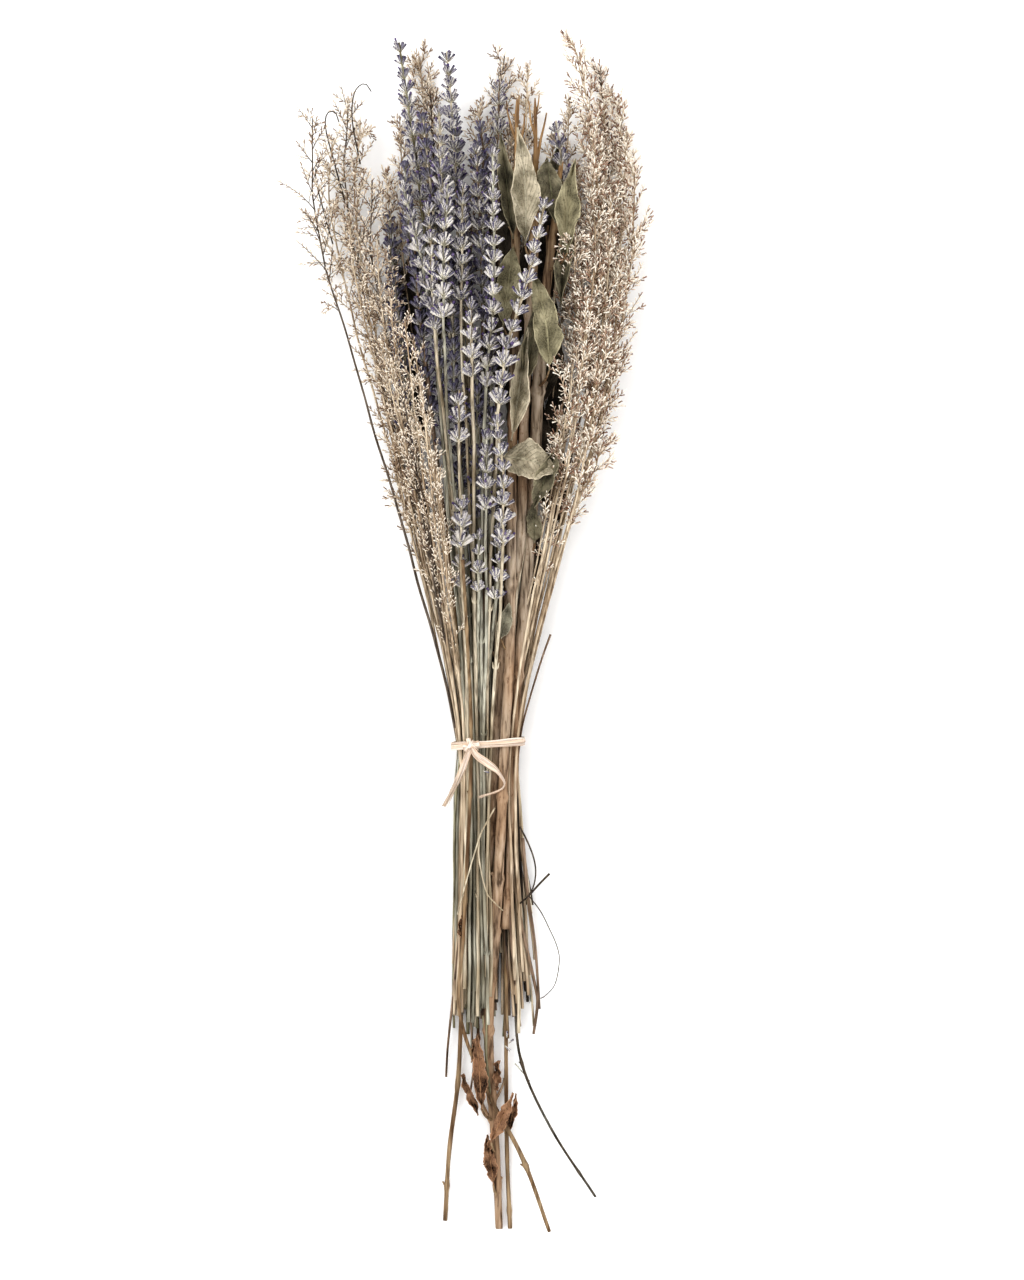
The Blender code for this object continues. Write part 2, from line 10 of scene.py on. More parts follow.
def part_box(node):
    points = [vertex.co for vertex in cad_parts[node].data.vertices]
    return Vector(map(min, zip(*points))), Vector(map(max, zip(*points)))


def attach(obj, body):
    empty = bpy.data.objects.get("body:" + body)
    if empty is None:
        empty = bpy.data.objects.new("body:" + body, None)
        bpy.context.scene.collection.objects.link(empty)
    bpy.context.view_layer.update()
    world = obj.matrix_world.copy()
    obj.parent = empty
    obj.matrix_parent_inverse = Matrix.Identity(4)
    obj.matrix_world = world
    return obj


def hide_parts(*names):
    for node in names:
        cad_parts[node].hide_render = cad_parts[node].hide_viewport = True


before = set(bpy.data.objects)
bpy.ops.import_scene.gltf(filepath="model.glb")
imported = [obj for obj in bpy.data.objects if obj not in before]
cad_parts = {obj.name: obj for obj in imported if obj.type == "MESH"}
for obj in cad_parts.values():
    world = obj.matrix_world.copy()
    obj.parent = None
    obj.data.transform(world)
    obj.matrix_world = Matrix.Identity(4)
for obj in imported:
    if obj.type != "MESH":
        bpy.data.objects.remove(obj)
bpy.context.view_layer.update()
mm = 0.001
print("frame loaded")


def deselectAll():
    if bpy.context.mode != "OBJECT":
        bpy.ops.object.mode_set(mode="OBJECT")
    bpy.ops.object.select_all(action="DESELECT")


def tone(red, green, blue):
    # a colour as the eye reads it, made linear for the shader
    def one(c):
        return c / 12.92 if c <= 0.04045 else ((c + 0.055) / 1.055) ** 2.4
    return (one(red), one(green), one(blue), 1.0)


# camera, light and floor
studio = {
    "cameraOver": (0.0192, -0.0003), "cameraHeight": 1.81, "lens": 100.0,
    "floorColour": (0.985, 0.985, 0.985), "floorSize": 12.0,
    "skyStrength": 0.92, "keyPower": 9.0, "keyAt": (-0.9, 0.7, 1.5), "keySize": 1.0,
    "fillPower": 3.0, "fillAt": (1.1, -0.4, 1.3), "fillSize": 1.4,
}


def makeStudio():
    bpy.context.scene.view_settings.view_transform = "Standard"
    bpy.context.scene.view_settings.look = "High Contrast"
    deselectAll()
    x, y = studio["cameraOver"]
    bpy.ops.object.camera_add(location=(x, y, studio["cameraHeight"]), rotation=(0, 0, 0))
    camera = bpy.context.object
    camera.data.lens = studio["lens"]
    camera.data.clip_start = 0.05
    bpy.context.scene.camera = camera

    for name in ("key", "fill"):
        at = Vector(studio[name + "At"])
        bpy.ops.object.light_add(type="AREA", location=at)
        lamp = bpy.context.object
        lamp.name = name + "Light"
        lamp.data.energy = studio[name + "Power"]
        lamp.data.size = studio[name + "Size"]
        lamp.rotation_euler = (Vector((0, 0.05, 0)) - at).to_track_quat("-Z", "Y").to_euler()

    world = bpy.data.worlds.new("studioSky")
    bpy.context.scene.world = world
    world.use_nodes = True
    sky = world.node_tree.nodes["Background"]
    sky.inputs["Color"].default_value = (1, 1, 1, 1)
    sky.inputs["Strength"].default_value = studio["skyStrength"]

    deselectAll()
    bpy.ops.mesh.primitive_plane_add(size=studio["floorSize"], location=(0, 0, -0.0002))
    floor = bpy.context.object
    floor.name = "floor"
    paper = bpy.data.materials.new("floorPaper")
    paper.use_nodes = True
    shader = paper.node_tree.nodes["Principled BSDF"]
    shader.inputs["Base Color"].default_value = tone(*studio["floorColour"])
    shader.inputs["Roughness"].default_value = 0.9
    floor.data.materials.append(paper)


makeStudio()
print("studio set")


# materials
def startMaterial(name, roughness=0.85):
    material = bpy.data.materials.new(name)
    material.use_nodes = True
    tree = material.node_tree
    shader = tree.nodes["Principled BSDF"]
    shader.inputs["Roughness"].default_value = roughness
    shader.inputs["Specular IOR Level"].default_value = 0.25
    return material, tree, shader


def ramp(tree, source, stops):
    made = tree.nodes.new("ShaderNodeValToRGB")
    steps = made.color_ramp.elements
    for step, (at, colour) in zip(steps, (stops[0], stops[-1])):
        step.position = at
        step.color = tone(*colour)
    for at, colour in stops[1:-1]:
        steps.new(at).color = tone(*colour)
    tree.links.new(source, made.inputs["Fac"])
    return made.outputs["Color"]


def setOrLink(tree, socket, value):
    # a number or a colour is set, another node's output is joined
    if isinstance(value, (float, int, tuple)):
        socket.default_value = value
    else:
        tree.links.new(value, socket)


def blendColours(tree, first, second, share, mode="MIX"):
    made = tree.nodes.new("ShaderNodeMix")
    made.data_type = "RGBA"
    made.blend_type = mode
    for socket, value in ((made.inputs[6], first), (made.inputs[7], second), (made.inputs[0], share)):
        setOrLink(tree, socket, value)
    return made.outputs[2]


def mapRange(tree, source, low, high, toLow=0.0, toHigh=1.0):
    made = tree.nodes.new("ShaderNodeMapRange")
    tree.links.new(source, made.inputs["Value"])
    for name, value in (("From Min", low), ("From Max", high), ("To Min", toLow), ("To Max", toHigh)):
        made.inputs[name].default_value = value
    return made.outputs["Result"]


def noise(tree, where, scale, detail=4.0, stretch=None):
    made = tree.nodes.new("ShaderNodeTexNoise")
    made.inputs["Scale"].default_value = scale
    made.inputs["Detail"].default_value = detail
    if stretch:
        place = tree.nodes.new("ShaderNodeMapping")
        place.inputs["Scale"].default_value = stretch
        tree.links.new(where, place.inputs["Vector"])
        where = place.outputs["Vector"]
    tree.links.new(where, made.inputs["Vector"])
    return made.outputs["Fac"]


def mapSplit(tree, name):
    # the piece's own map, whole and as its two directions
    uv = tree.nodes.new("ShaderNodeUVMap")
    uv.uv_map = name
    split = tree.nodes.new("ShaderNodeSeparateXYZ")
    tree.links.new(uv.outputs["UV"], split.inputs["Vector"])
    return uv.outputs["UV"], split.outputs["X"], split.outputs["Y"]


def objectPlace(tree):
    return tree.nodes.new("ShaderNodeTexCoord").outputs["Object"]


def addBump(tree, shader, height, distance, strength=0.6):
    made = tree.nodes.new("ShaderNodeBump")
    made.inputs["Strength"].default_value = strength
    made.inputs["Distance"].default_value = distance
    tree.links.new(height, made.inputs["Height"])
    tree.links.new(made.outputs["Normal"], shader.inputs["Normal"])


# Where each kind of small shape sits in its piece's map: across is how far along
# the shape, up is the tint of that one copy, kept inside a band of its own.
bands = {"cup": (0.02, 0.30), "petal": (0.34, 0.46), "stalk": (0.50, 0.98)}


def bandMaterial(name, band, alongStops, tintStops, tintShare):
    material, tree, shader = startMaterial(name)
    _, lengthwise, copyTint = mapSplit(tree, "OFBake")
    along = ramp(tree, lengthwise, alongStops)
    tint = ramp(tree, mapRange(tree, copyTint, *bands[band]), tintStops)
    tree.links.new(blendColours(tree, along, tint, tintShare), shader.inputs["Base Color"])
    return material


# streak and blotch: scale, detail and stretch; turns: where the streaks go from dark to light
stalkGrain = {
    "roughness": 0.7, "streak": (900.0, 3.0, (1.0, 0.06, 1.0)), "blotch": (55.0, 3.0, (1.0, 0.5, 1.0)),
    "turns": (0.3, 0.62), "blotchFrom": 0.42, "blotchShare": 0.75, "bump": (0.0002, 0.6),
}
twigGrain = {
    "roughness": 0.8, "streak": (760.0, 4.0, (1.0, 0.07, 1.0)), "blotch": (34.0, 3.0),
    "turns": (0.32, 0.66), "blotchFrom": 0.4, "blotchShare": 0.8, "bump": (0.0003, 0.7),
}
white = (1.0, 1.0, 1.0)


def makeGrainMaterial(name, light, dark, spots, grain=stalkGrain):
    # round stems: fine streaks along the length, darker blotches here and there
    material, tree, shader = startMaterial(name, grain["roughness"])
    where = objectPlace(tree)
    streak = noise(tree, where, *grain["streak"])
    blotch = noise(tree, where, *grain["blotch"])
    base = ramp(tree, streak, list(zip(grain["turns"], (dark, light))))
    worn = ramp(tree, blotch, [(grain["blotchFrom"], white), (0.62, spots)])
    colour = blendColours(tree, base, worn, grain["blotchShare"], "MULTIPLY")
    tree.links.new(colour, shader.inputs["Base Color"])
    addBump(tree, shader, streak, *grain["bump"])
    return material


lavenderColours = {
    "cup": [(0.0, (0.82, 0.77, 0.55)), (0.16, (0.82, 0.79, 0.67)), (0.34, (0.75, 0.73, 0.71)),
            (0.6, (0.66, 0.64, 0.67)), (0.85, (0.46, 0.44, 0.53)), (1.0, (0.25, 0.22, 0.32))],
    # the near-black end of the tints serves mostly the spikes deep in the bunch, as painted shade
    "cupTint": [(0.0, (0.13, 0.12, 0.18)), (0.22, (0.31, 0.30, 0.39)), (0.42, (0.54, 0.53, 0.59)),
                (0.60, (0.84, 0.82, 0.80)), (1.0, (1.0, 0.98, 0.92))],
    "petal": [(0.0, (0.50, 0.45, 0.60)), (1.0, (0.30, 0.25, 0.40))],
    "petalTint": [(0.0, (0.32, 0.27, 0.40)), (1.0, (0.60, 0.54, 0.66))],
}
cupMaterial = bandMaterial("lavenderCup", "cup", lavenderColours["cup"], lavenderColours["cupTint"], 0.62)
petalMaterial = bandMaterial("lavenderPetal", "petal", lavenderColours["petal"],
                             lavenderColours["petalTint"], 0.5)
stalkMaterials = [
    makeGrainMaterial("strawStalk", (0.90, 0.86, 0.78), (0.58, 0.54, 0.47), (0.74, 0.70, 0.64)),
    makeGrainMaterial("greyStalk", (0.80, 0.79, 0.73), (0.45, 0.44, 0.40), (0.66, 0.63, 0.58)),
    makeGrainMaterial("greenStalk", (0.68, 0.66, 0.56), (0.37, 0.36, 0.30), (0.62, 0.58, 0.51)),
    makeGrainMaterial("brownStalk", (0.62, 0.54, 0.47), (0.34, 0.29, 0.25), (0.60, 0.54, 0.48)),
]
# painted shade: a near-black stalk; on the inner stems it stands for the shade between the stems, and the
# strays listed with 4 take the same dark colour
darkStalkAndPaintedShade = makeGrainMaterial("darkStalkAndPaintedShade", (0.36, 0.32, 0.28), (0.16, 0.14, 0.13), (0.6, 0.56, 0.52))

sprayColours = {
    "warm": [(0.0, (0.22, 0.14, 0.10)), (0.26, (0.50, 0.38, 0.29)), (0.5, (0.84, 0.78, 0.69)),
             (1.0, (0.98, 0.95, 0.90))],
    "pink": [(0.0, (0.26, 0.15, 0.10)), (0.26, (0.54, 0.37, 0.28)), (0.5, (0.88, 0.80, 0.72)),
             (1.0, (1.0, 0.99, 0.95))],
    "floret": [(0.0, (0.44, 0.31, 0.23)), (0.35, (0.70, 0.58, 0.48)), (0.7, (0.88, 0.82, 0.76)),
               (1.0, (0.98, 0.95, 0.91))],
}
warmFloret, pinkFloret = (
    bandMaterial("floret" + kind.capitalize(), "cup", sprayColours["floret"], sprayColours[kind], 0.76)
    for kind in ("warm", "pink"))
sprayStalk = makeGrainMaterial("sprayStalk", (0.86, 0.80, 0.71), (0.56, 0.50, 0.43), (0.74, 0.68, 0.62))
darkSprayStalk = makeGrainMaterial("darkSprayStalk", (0.48, 0.44, 0.40), (0.27, 0.24, 0.22),
                                   (0.70, 0.64, 0.58))
print("flower materials made")


# gathering small shapes into one mesh
floorGap = 0.05 * mm
stemStep = 5 * mm


def anyTurn(rng):
    return rng.uniform(0, 6.28)


def newStore():
    return {"points": [], "tris": [], "uvs": [], "kinds": [], "count": 0}


def addShape(store, points, tris, uvs, kind):
    # points (n, 3), tris (k, 3), uvs (k, 3, 2)
    store["points"].append(points)
    store["tris"].append(tris + store["count"])
    store["uvs"].append(uvs)
    store["kinds"].append(np.full(len(tris), kind, np.int32))
    store["count"] += len(points)


def addCopies(store, shape, places, tints, band, kind, ribs=0.0):
    # shape: a modelled template; places: (m, 3, 4) turns, sizes and shifts; ribs: how far
    # the tints of neighbouring sides differ
    points, tris, along = shape["points"], shape["tris"], shape["along"]
    moved = np.einsum("mij,nj->mni", places[:, :, :3], points) + places[:, None, :, 3]
    # a copy that would dip into the surface is lifted whole
    moved[:, :, 2] += np.maximum(0.0, floorGap - moved[:, :, 2].min(1))[:, None]
    count = len(points)
    allTris = (tris[None] + (np.arange(len(places)) * count)[:, None, None]).reshape(-1, 3)
    low, high = bands[band]
    mixed = np.clip(np.asarray(tints, float)[:, None] + ribs * shape["rib"][None], 0.02, 0.98)
    up = low + (high - low) * mixed
    uvs = np.empty((len(places), len(tris), 3, 2))
    uvs[..., 0] = (0.03 + 0.94 * along[tris])[None]
    # a copy is a little taller than a line in the map, so no face has no width
    uvs[..., 1] = up[:, :, None] + np.array([0.0, 0.002, 0.004])[None, None]
    addShape(store, moved.reshape(-1, 3), allTris, uvs.reshape(-1, 3, 2), kind)


def lengthsAlong(path):
    return np.concatenate([[0], np.cumsum(np.linalg.norm(np.diff(path, axis=0), axis=1))])


def smoothPath(points, step):
    # a rounded line through the points, one point every step
    points = np.asarray(points, float)
    if len(points) < 3:
        return points if len(points) < 2 else resample(points, step)
    padded = np.vstack([2 * points[0] - points[1], points, 2 * points[-1] - points[-2]])
    out = []
    for i in range(1, len(padded) - 2):
        p0, p1, p2, p3 = padded[i - 1:i + 3]
        for t in np.linspace(0, 1, 8, endpoint=False):
            out.append(0.5 * (2 * p1 + (p2 - p0) * t + (2 * p0 - 5 * p1 + 4 * p2 - p3) * t * t
                              + (3 * p1 - p0 - 3 * p2 + p3) * t ** 3))
    out.append(points[-1])
    return resample(np.array(out), step)


def resample(points, step):
    at = lengthsAlong(points)
    count = max(2, int(round(at[-1] / step)) + 1)
    wanted = np.linspace(0, at[-1], count)
    return np.stack([np.interp(wanted, at, points[:, a]) for a in range(points.shape[1])], 1)


def framesAlong(path):
    # a direction and two sideways directions at each point, without twist
    ahead = np.gradient(path, axis=0)
    ahead /= np.linalg.norm(ahead, axis=1)[:, None] + 1e-12
    side = np.cross(ahead[0], (0, 0, 1.0))
    if np.linalg.norm(side) < 0.1:
        side = np.cross(ahead[0], (1.0, 0, 0))
    sides = []
    for a in ahead:
        side = side - a * side.dot(a)
        side /= np.linalg.norm(side) + 1e-12
        sides.append(side.copy())
    sides = np.array(sides)
    return ahead, sides, np.cross(ahead, sides)


def wallFaces(rows, cols, spans, u, v):
    # triangles of a wall made of rings of points, and where their corners sit in the map
    r, c = np.meshgrid(np.arange(spans), np.arange(cols), indexing="ij")
    nextRow, nextCol = (r + 1) % rows, (c + 1) % cols
    ids = [r * cols + c, r * cols + nextCol, nextRow * cols + nextCol, nextRow * cols + c]
    marks = [np.stack([u(x), v(y)], -1) for x, y in ((c, r), (c + 1, r), (c + 1, r + 1), (c, r + 1))]

    def halved(corners):
        return np.stack([np.stack([corners[k] for k in half], 2) for half in ((0, 1, 2), (0, 2, 3))], 2)

    return halved(ids).reshape(-1, 3), halved(marks).reshape(-1, 3, 2)


def taper(path, first, last):
    return np.linspace(first, last, len(path))


def addTube(store, path, radii, sides, kind, square=0.0, strip=(0.0, 1.0)):
    # a capped tube along a path; square makes it a little four-sided, strip is its share of the map
    path = np.array(path, float)
    radii = np.broadcast_to(np.asarray(radii, float), len(path))
    path[:, 2] = np.maximum(path[:, 2], radii * (1.0 + square) + floorGap)
    _, across, up = framesAlong(path)
    turn = np.linspace(0, 2 * np.pi, sides, endpoint=False)
    swell = 1.0 + square * np.cos(4 * turn)
    ring = (across[:, None] * (np.cos(turn) * swell)[None, :, None]
            + up[:, None] * (np.sin(turn) * swell)[None, :, None])
    points = (path[:, None] + ring * radii[:, None, None]).reshape(-1, 3)
    ends = np.array([path[0], path[-1]])
    rows = len(path)
    low, high = bands["stalk"]
    lowU, highU = strip
    heights = low + (high - low) * np.linspace(0, 1, rows)
    tris, uvs = wallFaces(rows, sides, rows - 1, lambda n: lowU + (highU - lowU) * n / sides,
                          lambda n: heights[n])
    n = np.arange(sides)
    foot = np.stack([np.full(sides, rows * sides), (n + 1) % sides, n], -1)
    last = (rows - 1) * sides
    head = np.stack([np.full(sides, rows * sides + 1), last + n, last + (n + 1) % sides], -1)
    capUv = np.empty((2 * sides, 3, 2))
    for part, bottom, top in ((slice(sides), low, low + 0.004), (slice(sides, None), high - 0.004, high)):
        capUv[part] = np.array([[lowU + 0.01, bottom], [lowU + 0.02, bottom], [lowU + 0.02, top]])
    addShape(store, np.vstack([points, ends]), np.vstack([tris, foot, head]),
             np.vstack([uvs, capUv]), kind)


def makePiece(name, store, materials, nodes=()):
    points = np.vstack(store["points"]).astype(np.float32)
    tris = np.vstack(store["tris"]).astype(np.int32)
    uvs = np.vstack(store["uvs"]).astype(np.float32)
    mesh = bpy.data.meshes.new(name)
    mesh.vertices.add(len(points))
    mesh.vertices.foreach_set("co", points.ravel())
    mesh.loops.add(len(tris) * 3)
    mesh.loops.foreach_set("vertex_index", tris.ravel())
    mesh.polygons.add(len(tris))
    mesh.polygons.foreach_set("loop_start", np.arange(0, len(tris) * 3, 3, dtype=np.int32))
    mesh.polygons.foreach_set("material_index", np.concatenate(store["kinds"]).astype(np.int32))
    mesh.uv_layers.new(name="OFBake").data.foreach_set("uv", uvs.ravel())
    for material in materials:
        mesh.materials.append(material)
    mesh.update(calc_edges=True)
    mesh.polygons.foreach_set("use_smooth", np.ones(len(tris), bool))
    piece = bpy.data.objects.new(name, mesh)
    bpy.context.scene.collection.objects.link(piece)
    finishPiece(piece, nodes)


def finishPiece(piece, nodes=()):
    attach(piece, "root")
    if nodes:
        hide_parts(*nodes)


# reading the frame
tieY = (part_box("raffia_band")[0][1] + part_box("raffia_band")[1][1]) / 2


def pointsOf(node):
    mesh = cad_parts[node].data
    points = np.empty(len(mesh.vertices) * 3)
    mesh.vertices.foreach_get("co", points)
    return np.unique(np.round(points.reshape(-1, 3), 6), axis=0)


def centreLine(node, widest=5.2 * mm):
    # centres of the node's rings, foot first, with each ring's radius
    points = pointsOf(node)
    keys = np.round(points[:, 1] / (0.05 * mm)).astype(int)
    rings = []
    for key in np.unique(keys):
        ring = points[keys == key]
        if len(ring) < 4:
            continue
        centre = ring.mean(0)
        radius = np.linalg.norm(ring - centre, axis=1).max()
        if radius < widest:
            rings.append((*centre, radius))
    return np.array(rings)


def namesOf(start):
    return sorted(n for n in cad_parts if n.startswith(start) and n[len(start):].isdigit())


# the small shapes, each modelled once
def startRing(sides, radius):
    deselectAll()
    bpy.ops.mesh.primitive_circle_add(vertices=sides, radius=radius, fill_type="NGON", location=(0, 0, 0))
    bpy.ops.object.mode_set(mode="EDIT")
    bpy.ops.mesh.select_all(action="SELECT")


def drawUp(rise, size, shift=0.0):
    # pulls the end face on, and makes it wider or narrower
    bpy.ops.mesh.extrude_region_move(TRANSFORM_OT_translate={"value": (shift, 0, rise)})
    bpy.ops.transform.resize(value=(size, size, 1.0))


def takeShape(sides):
    # closes the foot, then keeps the shape as numbers to be copied
    bpy.ops.mesh.select_all(action="DESELECT")
    bpy.ops.mesh.select_non_manifold()
    bpy.ops.mesh.edge_face_add()
    bpy.ops.mesh.select_all(action="SELECT")
    bpy.ops.mesh.normals_make_consistent(inside=False)
    bpy.ops.object.mode_set(mode="OBJECT")
    model = bpy.context.object
    mesh = model.data
    mesh.calc_loop_triangles()
    points = np.array([v.co[:] for v in mesh.vertices])
    tris = np.array([t.vertices[:] for t in mesh.loop_triangles])
    along = (points[:, 2] - points[:, 2].min()) / np.ptp(points[:, 2])
    # every other side of the shape is a rib
    middle = points[tris].mean(1)
    side = np.floor(np.arctan2(middle[:, 1], middle[:, 0]) / (2 * np.pi / sides) + 0.02).astype(int)
    bpy.data.objects.remove(model, do_unlink=True)
    return {"points": points, "tris": tris, "along": along, "rib": np.where(side % 2, 1.0, -1.0)}


cupSize = {"length": 6.6 * mm, "foot": 0.34 * mm, "sides": 6}


def modelCup():
    # a calyx: narrow foot, swollen tube, slightly drawn-in mouth with a hollow
    startRing(cupSize["sides"], cupSize["foot"])
    length = cupSize["length"]
    drawUp(length * 0.16, 1.9, 0.02 * mm)
    drawUp(length * 0.26, 1.40, 0.08 * mm)
    drawUp(length * 0.34, 1.04, 0.12 * mm)
    drawUp(length * 0.18, 1.04, 0.06 * mm)
    drawUp(length * 0.06, 1.12, 0.02 * mm)
    bpy.ops.mesh.inset(thickness=0.22 * mm)
    bpy.ops.transform.translate(value=(0, 0, -0.5 * mm))
    return takeShape(cupSize["sides"])


def modelPetal():
    # a dried corolla: a crumpled five-cornered flare
    startRing(5, 0.35 * mm)
    drawUp(0.9 * mm, 1.5, 0.1 * mm)
    drawUp(0.7 * mm, 1.5, -0.1 * mm)
    drawUp(0.25 * mm, 0.35, 0.15 * mm)
    return takeShape(5)


floretSize = {"length": 3.1 * mm, "sides": 4}


def modelFloret():
    # a papery calyx: a slim tube that flares a little at its mouth
    length = floretSize["length"]
    startRing(floretSize["sides"], 0.17 * mm)
    drawUp(length * 0.30, 2.3, 0.05 * mm)
    drawUp(length * 0.42, 1.05, 0.08 * mm)
    drawUp(length * 0.28, 1.35, 0.04 * mm)
    return takeShape(floretSize["sides"])


cupShape, petalShape, floretShape = modelCup(), modelPetal(), modelFloret()
print("small shapes modelled")


def placesFor(at, ahead, sizes, rolls):
    # turns, sizes and shifts that stand copies at points, each facing its own way
    at, ahead = np.asarray(at, float), np.asarray(ahead, float)
    sizes, rolls = np.asarray(sizes, float), np.asarray(rolls, float)
    ahead = ahead / np.linalg.norm(ahead, axis=1)[:, None]
    helper = np.where(np.abs(ahead[:, 2:3]) < 0.9, [[0, 0, 1.0]], [[1.0, 0, 0]])
    one = np.cross(helper, ahead)
    one /= np.linalg.norm(one, axis=1)[:, None]
    two = np.cross(ahead, one)
    turned = one * np.cos(rolls)[:, None] + two * np.sin(rolls)[:, None]
    other = np.cross(ahead, turned)
    return np.stack([turned * sizes[:, None], other * sizes[:, None], ahead * sizes[:, None], at], 2)


def newCopies():
    return {"at": [], "ahead": [], "size": [], "roll": [], "tint": []}


def noteCopy(found, **values):
    for key, value in values.items():
        found[key].append(value)


def standCopies(store, shape, found, band, kind, ribs=0.0):
    if found["at"]:
        places = placesFor(found["at"], found["ahead"], found["size"], found["roll"])
        addCopies(store, shape, places, found["tint"], band, kind, ribs)


# lavender
lavender = {
    "stalkRadius": 0.86 * mm, "tipRadius": 0.5 * mm, "cupsPerWhorl": (6, 9), "petalShare": 0.16,
    "ribContrast": 0.34, "spikeFrom": 2.6 * mm, "footBack": 1.5 * mm, "sway": 0.45 * mm,
}
# how far apart the whorls stand at a spike's foot and tip, how pale the calyces are, and for each
# tier of a whorl its lean in degrees, its lift in millimetres and its share of the calyces
closeSpike = {"gaps": (8.6 * mm, 6.2 * mm), "pale": 0.56, "tiers": ((52, -0.3, 0.8), (30, 0.6, 0.75))}
openSpike = {"gaps": (9.6 * mm, 6.6 * mm), "pale": 0.68,
             "tiers": ((56, -0.3, 0.7), (34, 0.4, 0.7), (12, 0.8, 0.3))}
# painted shade: the spikes deep in the bunch get near-black calyces, standing for the shade among the stems
paintedShadeSpike = {"gaps": (8.4 * mm, 6.4 * mm), "pale": 0.05, "tiers": ((50, -0.4, 0.8), (26, 0.8, 0.6))}


def whorlsAlong(path, gaps):
    # places along a spike, wide apart at its foot and close at its tip
    at = lengthsAlong(path)
    where, s = [], 0.0
    while s <= at[-1]:
        where.append(s)
        s += gaps[0] + (gaps[1] - gaps[0]) * s / at[-1]
    return np.stack([np.interp(where, at, path[:, a]) for a in range(3)], 1), np.array(where) / at[-1]


def growSpike(store, path, rng, look, fullness):
    at, share = whorlsAlong(path, look["gaps"])
    ahead, across, up = framesAlong(at if len(at) > 2 else path[:len(at)])
    cups, petals = newCopies(), newCopies()
    for n in range(len(at)):
        top = share[n]
        size = (1.0 - 0.36 * top ** 2) * rng.uniform(0.92, 1.06) * fullness
        for lean, lift, part in look["tiers"]:
            count = max(2, round(rng.randint(*lavender["cupsPerWhorl"]) * part * (1 - 0.35 * top)))
            start = anyTurn(rng)
            for k in range(count):
                turn = start + 6.283 * k / count + rng.uniform(-0.25, 0.25)
                out = across[n] * math.cos(turn) + up[n] * math.sin(turn)
                angle = math.radians(lean * (1 - 0.25 * top) + rng.uniform(-11, 11))
                way = ahead[n] * math.cos(angle) + out * math.sin(angle)
                point = at[n] + out * 0.55 * mm + ahead[n] * (lift + rng.uniform(-0.8, 0.8)) * mm
                here = size * rng.uniform(0.82, 1.1)
                tint = min(1.0, max(0.0, rng.gauss(look["pale"] - 0.30 * top ** 2, 0.2)))
                noteCopy(cups, at=point, ahead=way, size=here, roll=anyTurn(rng), tint=tint)
                if rng.random() < lavender["petalShare"]:
                    mouth = point + way * cupSize["length"] * 0.93 * here
                    way = way + out * rng.uniform(-0.3, 0.5)
                    flare = here * rng.uniform(0.8, 1.25)
                    tint = rng.random()
                    noteCopy(petals, at=mouth, ahead=way, size=flare, roll=anyTurn(rng), tint=tint)
    standCopies(store, cupShape, cups, "cup", 0, lavender["ribContrast"])
    standCopies(store, petalShape, petals, "petal", 1)


def sway(path, rng, amount):
    # stems are never quite straight; they are held still at the tie
    y = path[:, 1]
    free = np.clip(np.abs(y - tieY) / (40 * mm), 0.0, 1.0) * amount
    for axis, share in ((0, 1.0), (2, 0.4)):
        wave = sum(part * np.sin(y / (length * mm) + anyTurn(rng))
                   for part, length in ((1.0, 31), (0.6, 13), (0.3, 6)))
        path[:, axis] += wave * free * share
    return path


def makeLavender(name, rings, rng, nodes=(), look=closeSpike, fullness=1.0):
    # rings: centres and radii, foot first; the spike starts where they swell
    swollen = np.nonzero(rings[:, 3] > lavender["spikeFrom"])[0]
    spikeFoot = rings[swollen[0], 1] - lavender["footBack"]
    path = sway(smoothPath(rings[:, :3], stemStep), rng, lavender["sway"])
    radii = np.interp(path[:, 1], [path[0, 1], spikeFoot, path[-1, 1]],
                      [lavender["stalkRadius"], lavender["stalkRadius"] * 0.9, lavender["tipRadius"]])
    store = newStore()
    addTube(store, path, radii * rng.uniform(0.82, 1.12), 8, 2, square=0.07)
    spike = path[path[:, 1] >= spikeFoot]
    growSpike(store, spike, rng, look, fullness)
    # joints of the stalk, each with a pair of withered bracts
    ahead, across, up = framesAlong(path)
    for share in (rng.uniform(0.1, 0.4), rng.uniform(0.5, 0.9)):
        n = int(share * (len(path) - len(spike)))
        turn = anyTurn(rng)
        out = across[n] * math.cos(turn) + up[n] * math.sin(turn)
        for side in (-1, 1):
            tip = path[n] + out * side * 1.7 * mm + ahead[n] * rng.uniform(2.4, 4.5) * mm
            addTube(store, [path[n], path[n] + out * side * 1.2 * mm + ahead[n] * 1.2 * mm, tip],
                    np.array([0.7, 0.5, 0.15]) * mm, 5, 2)
    stalk = rng.choice(stalkMaterials[:2] if look is openSpike else stalkMaterials)
    makePiece(name, store, [cupMaterial, petalMaterial, stalk], nodes)


openStems = (8, *range(10, 19))
for node in namesOf("lavender_"):
    look = openSpike if int(node[-2:]) in openStems else closeSpike
    makeLavender("look_" + node, centreLine(node), random.Random(node), (node,), look)
print("lavender stems made")


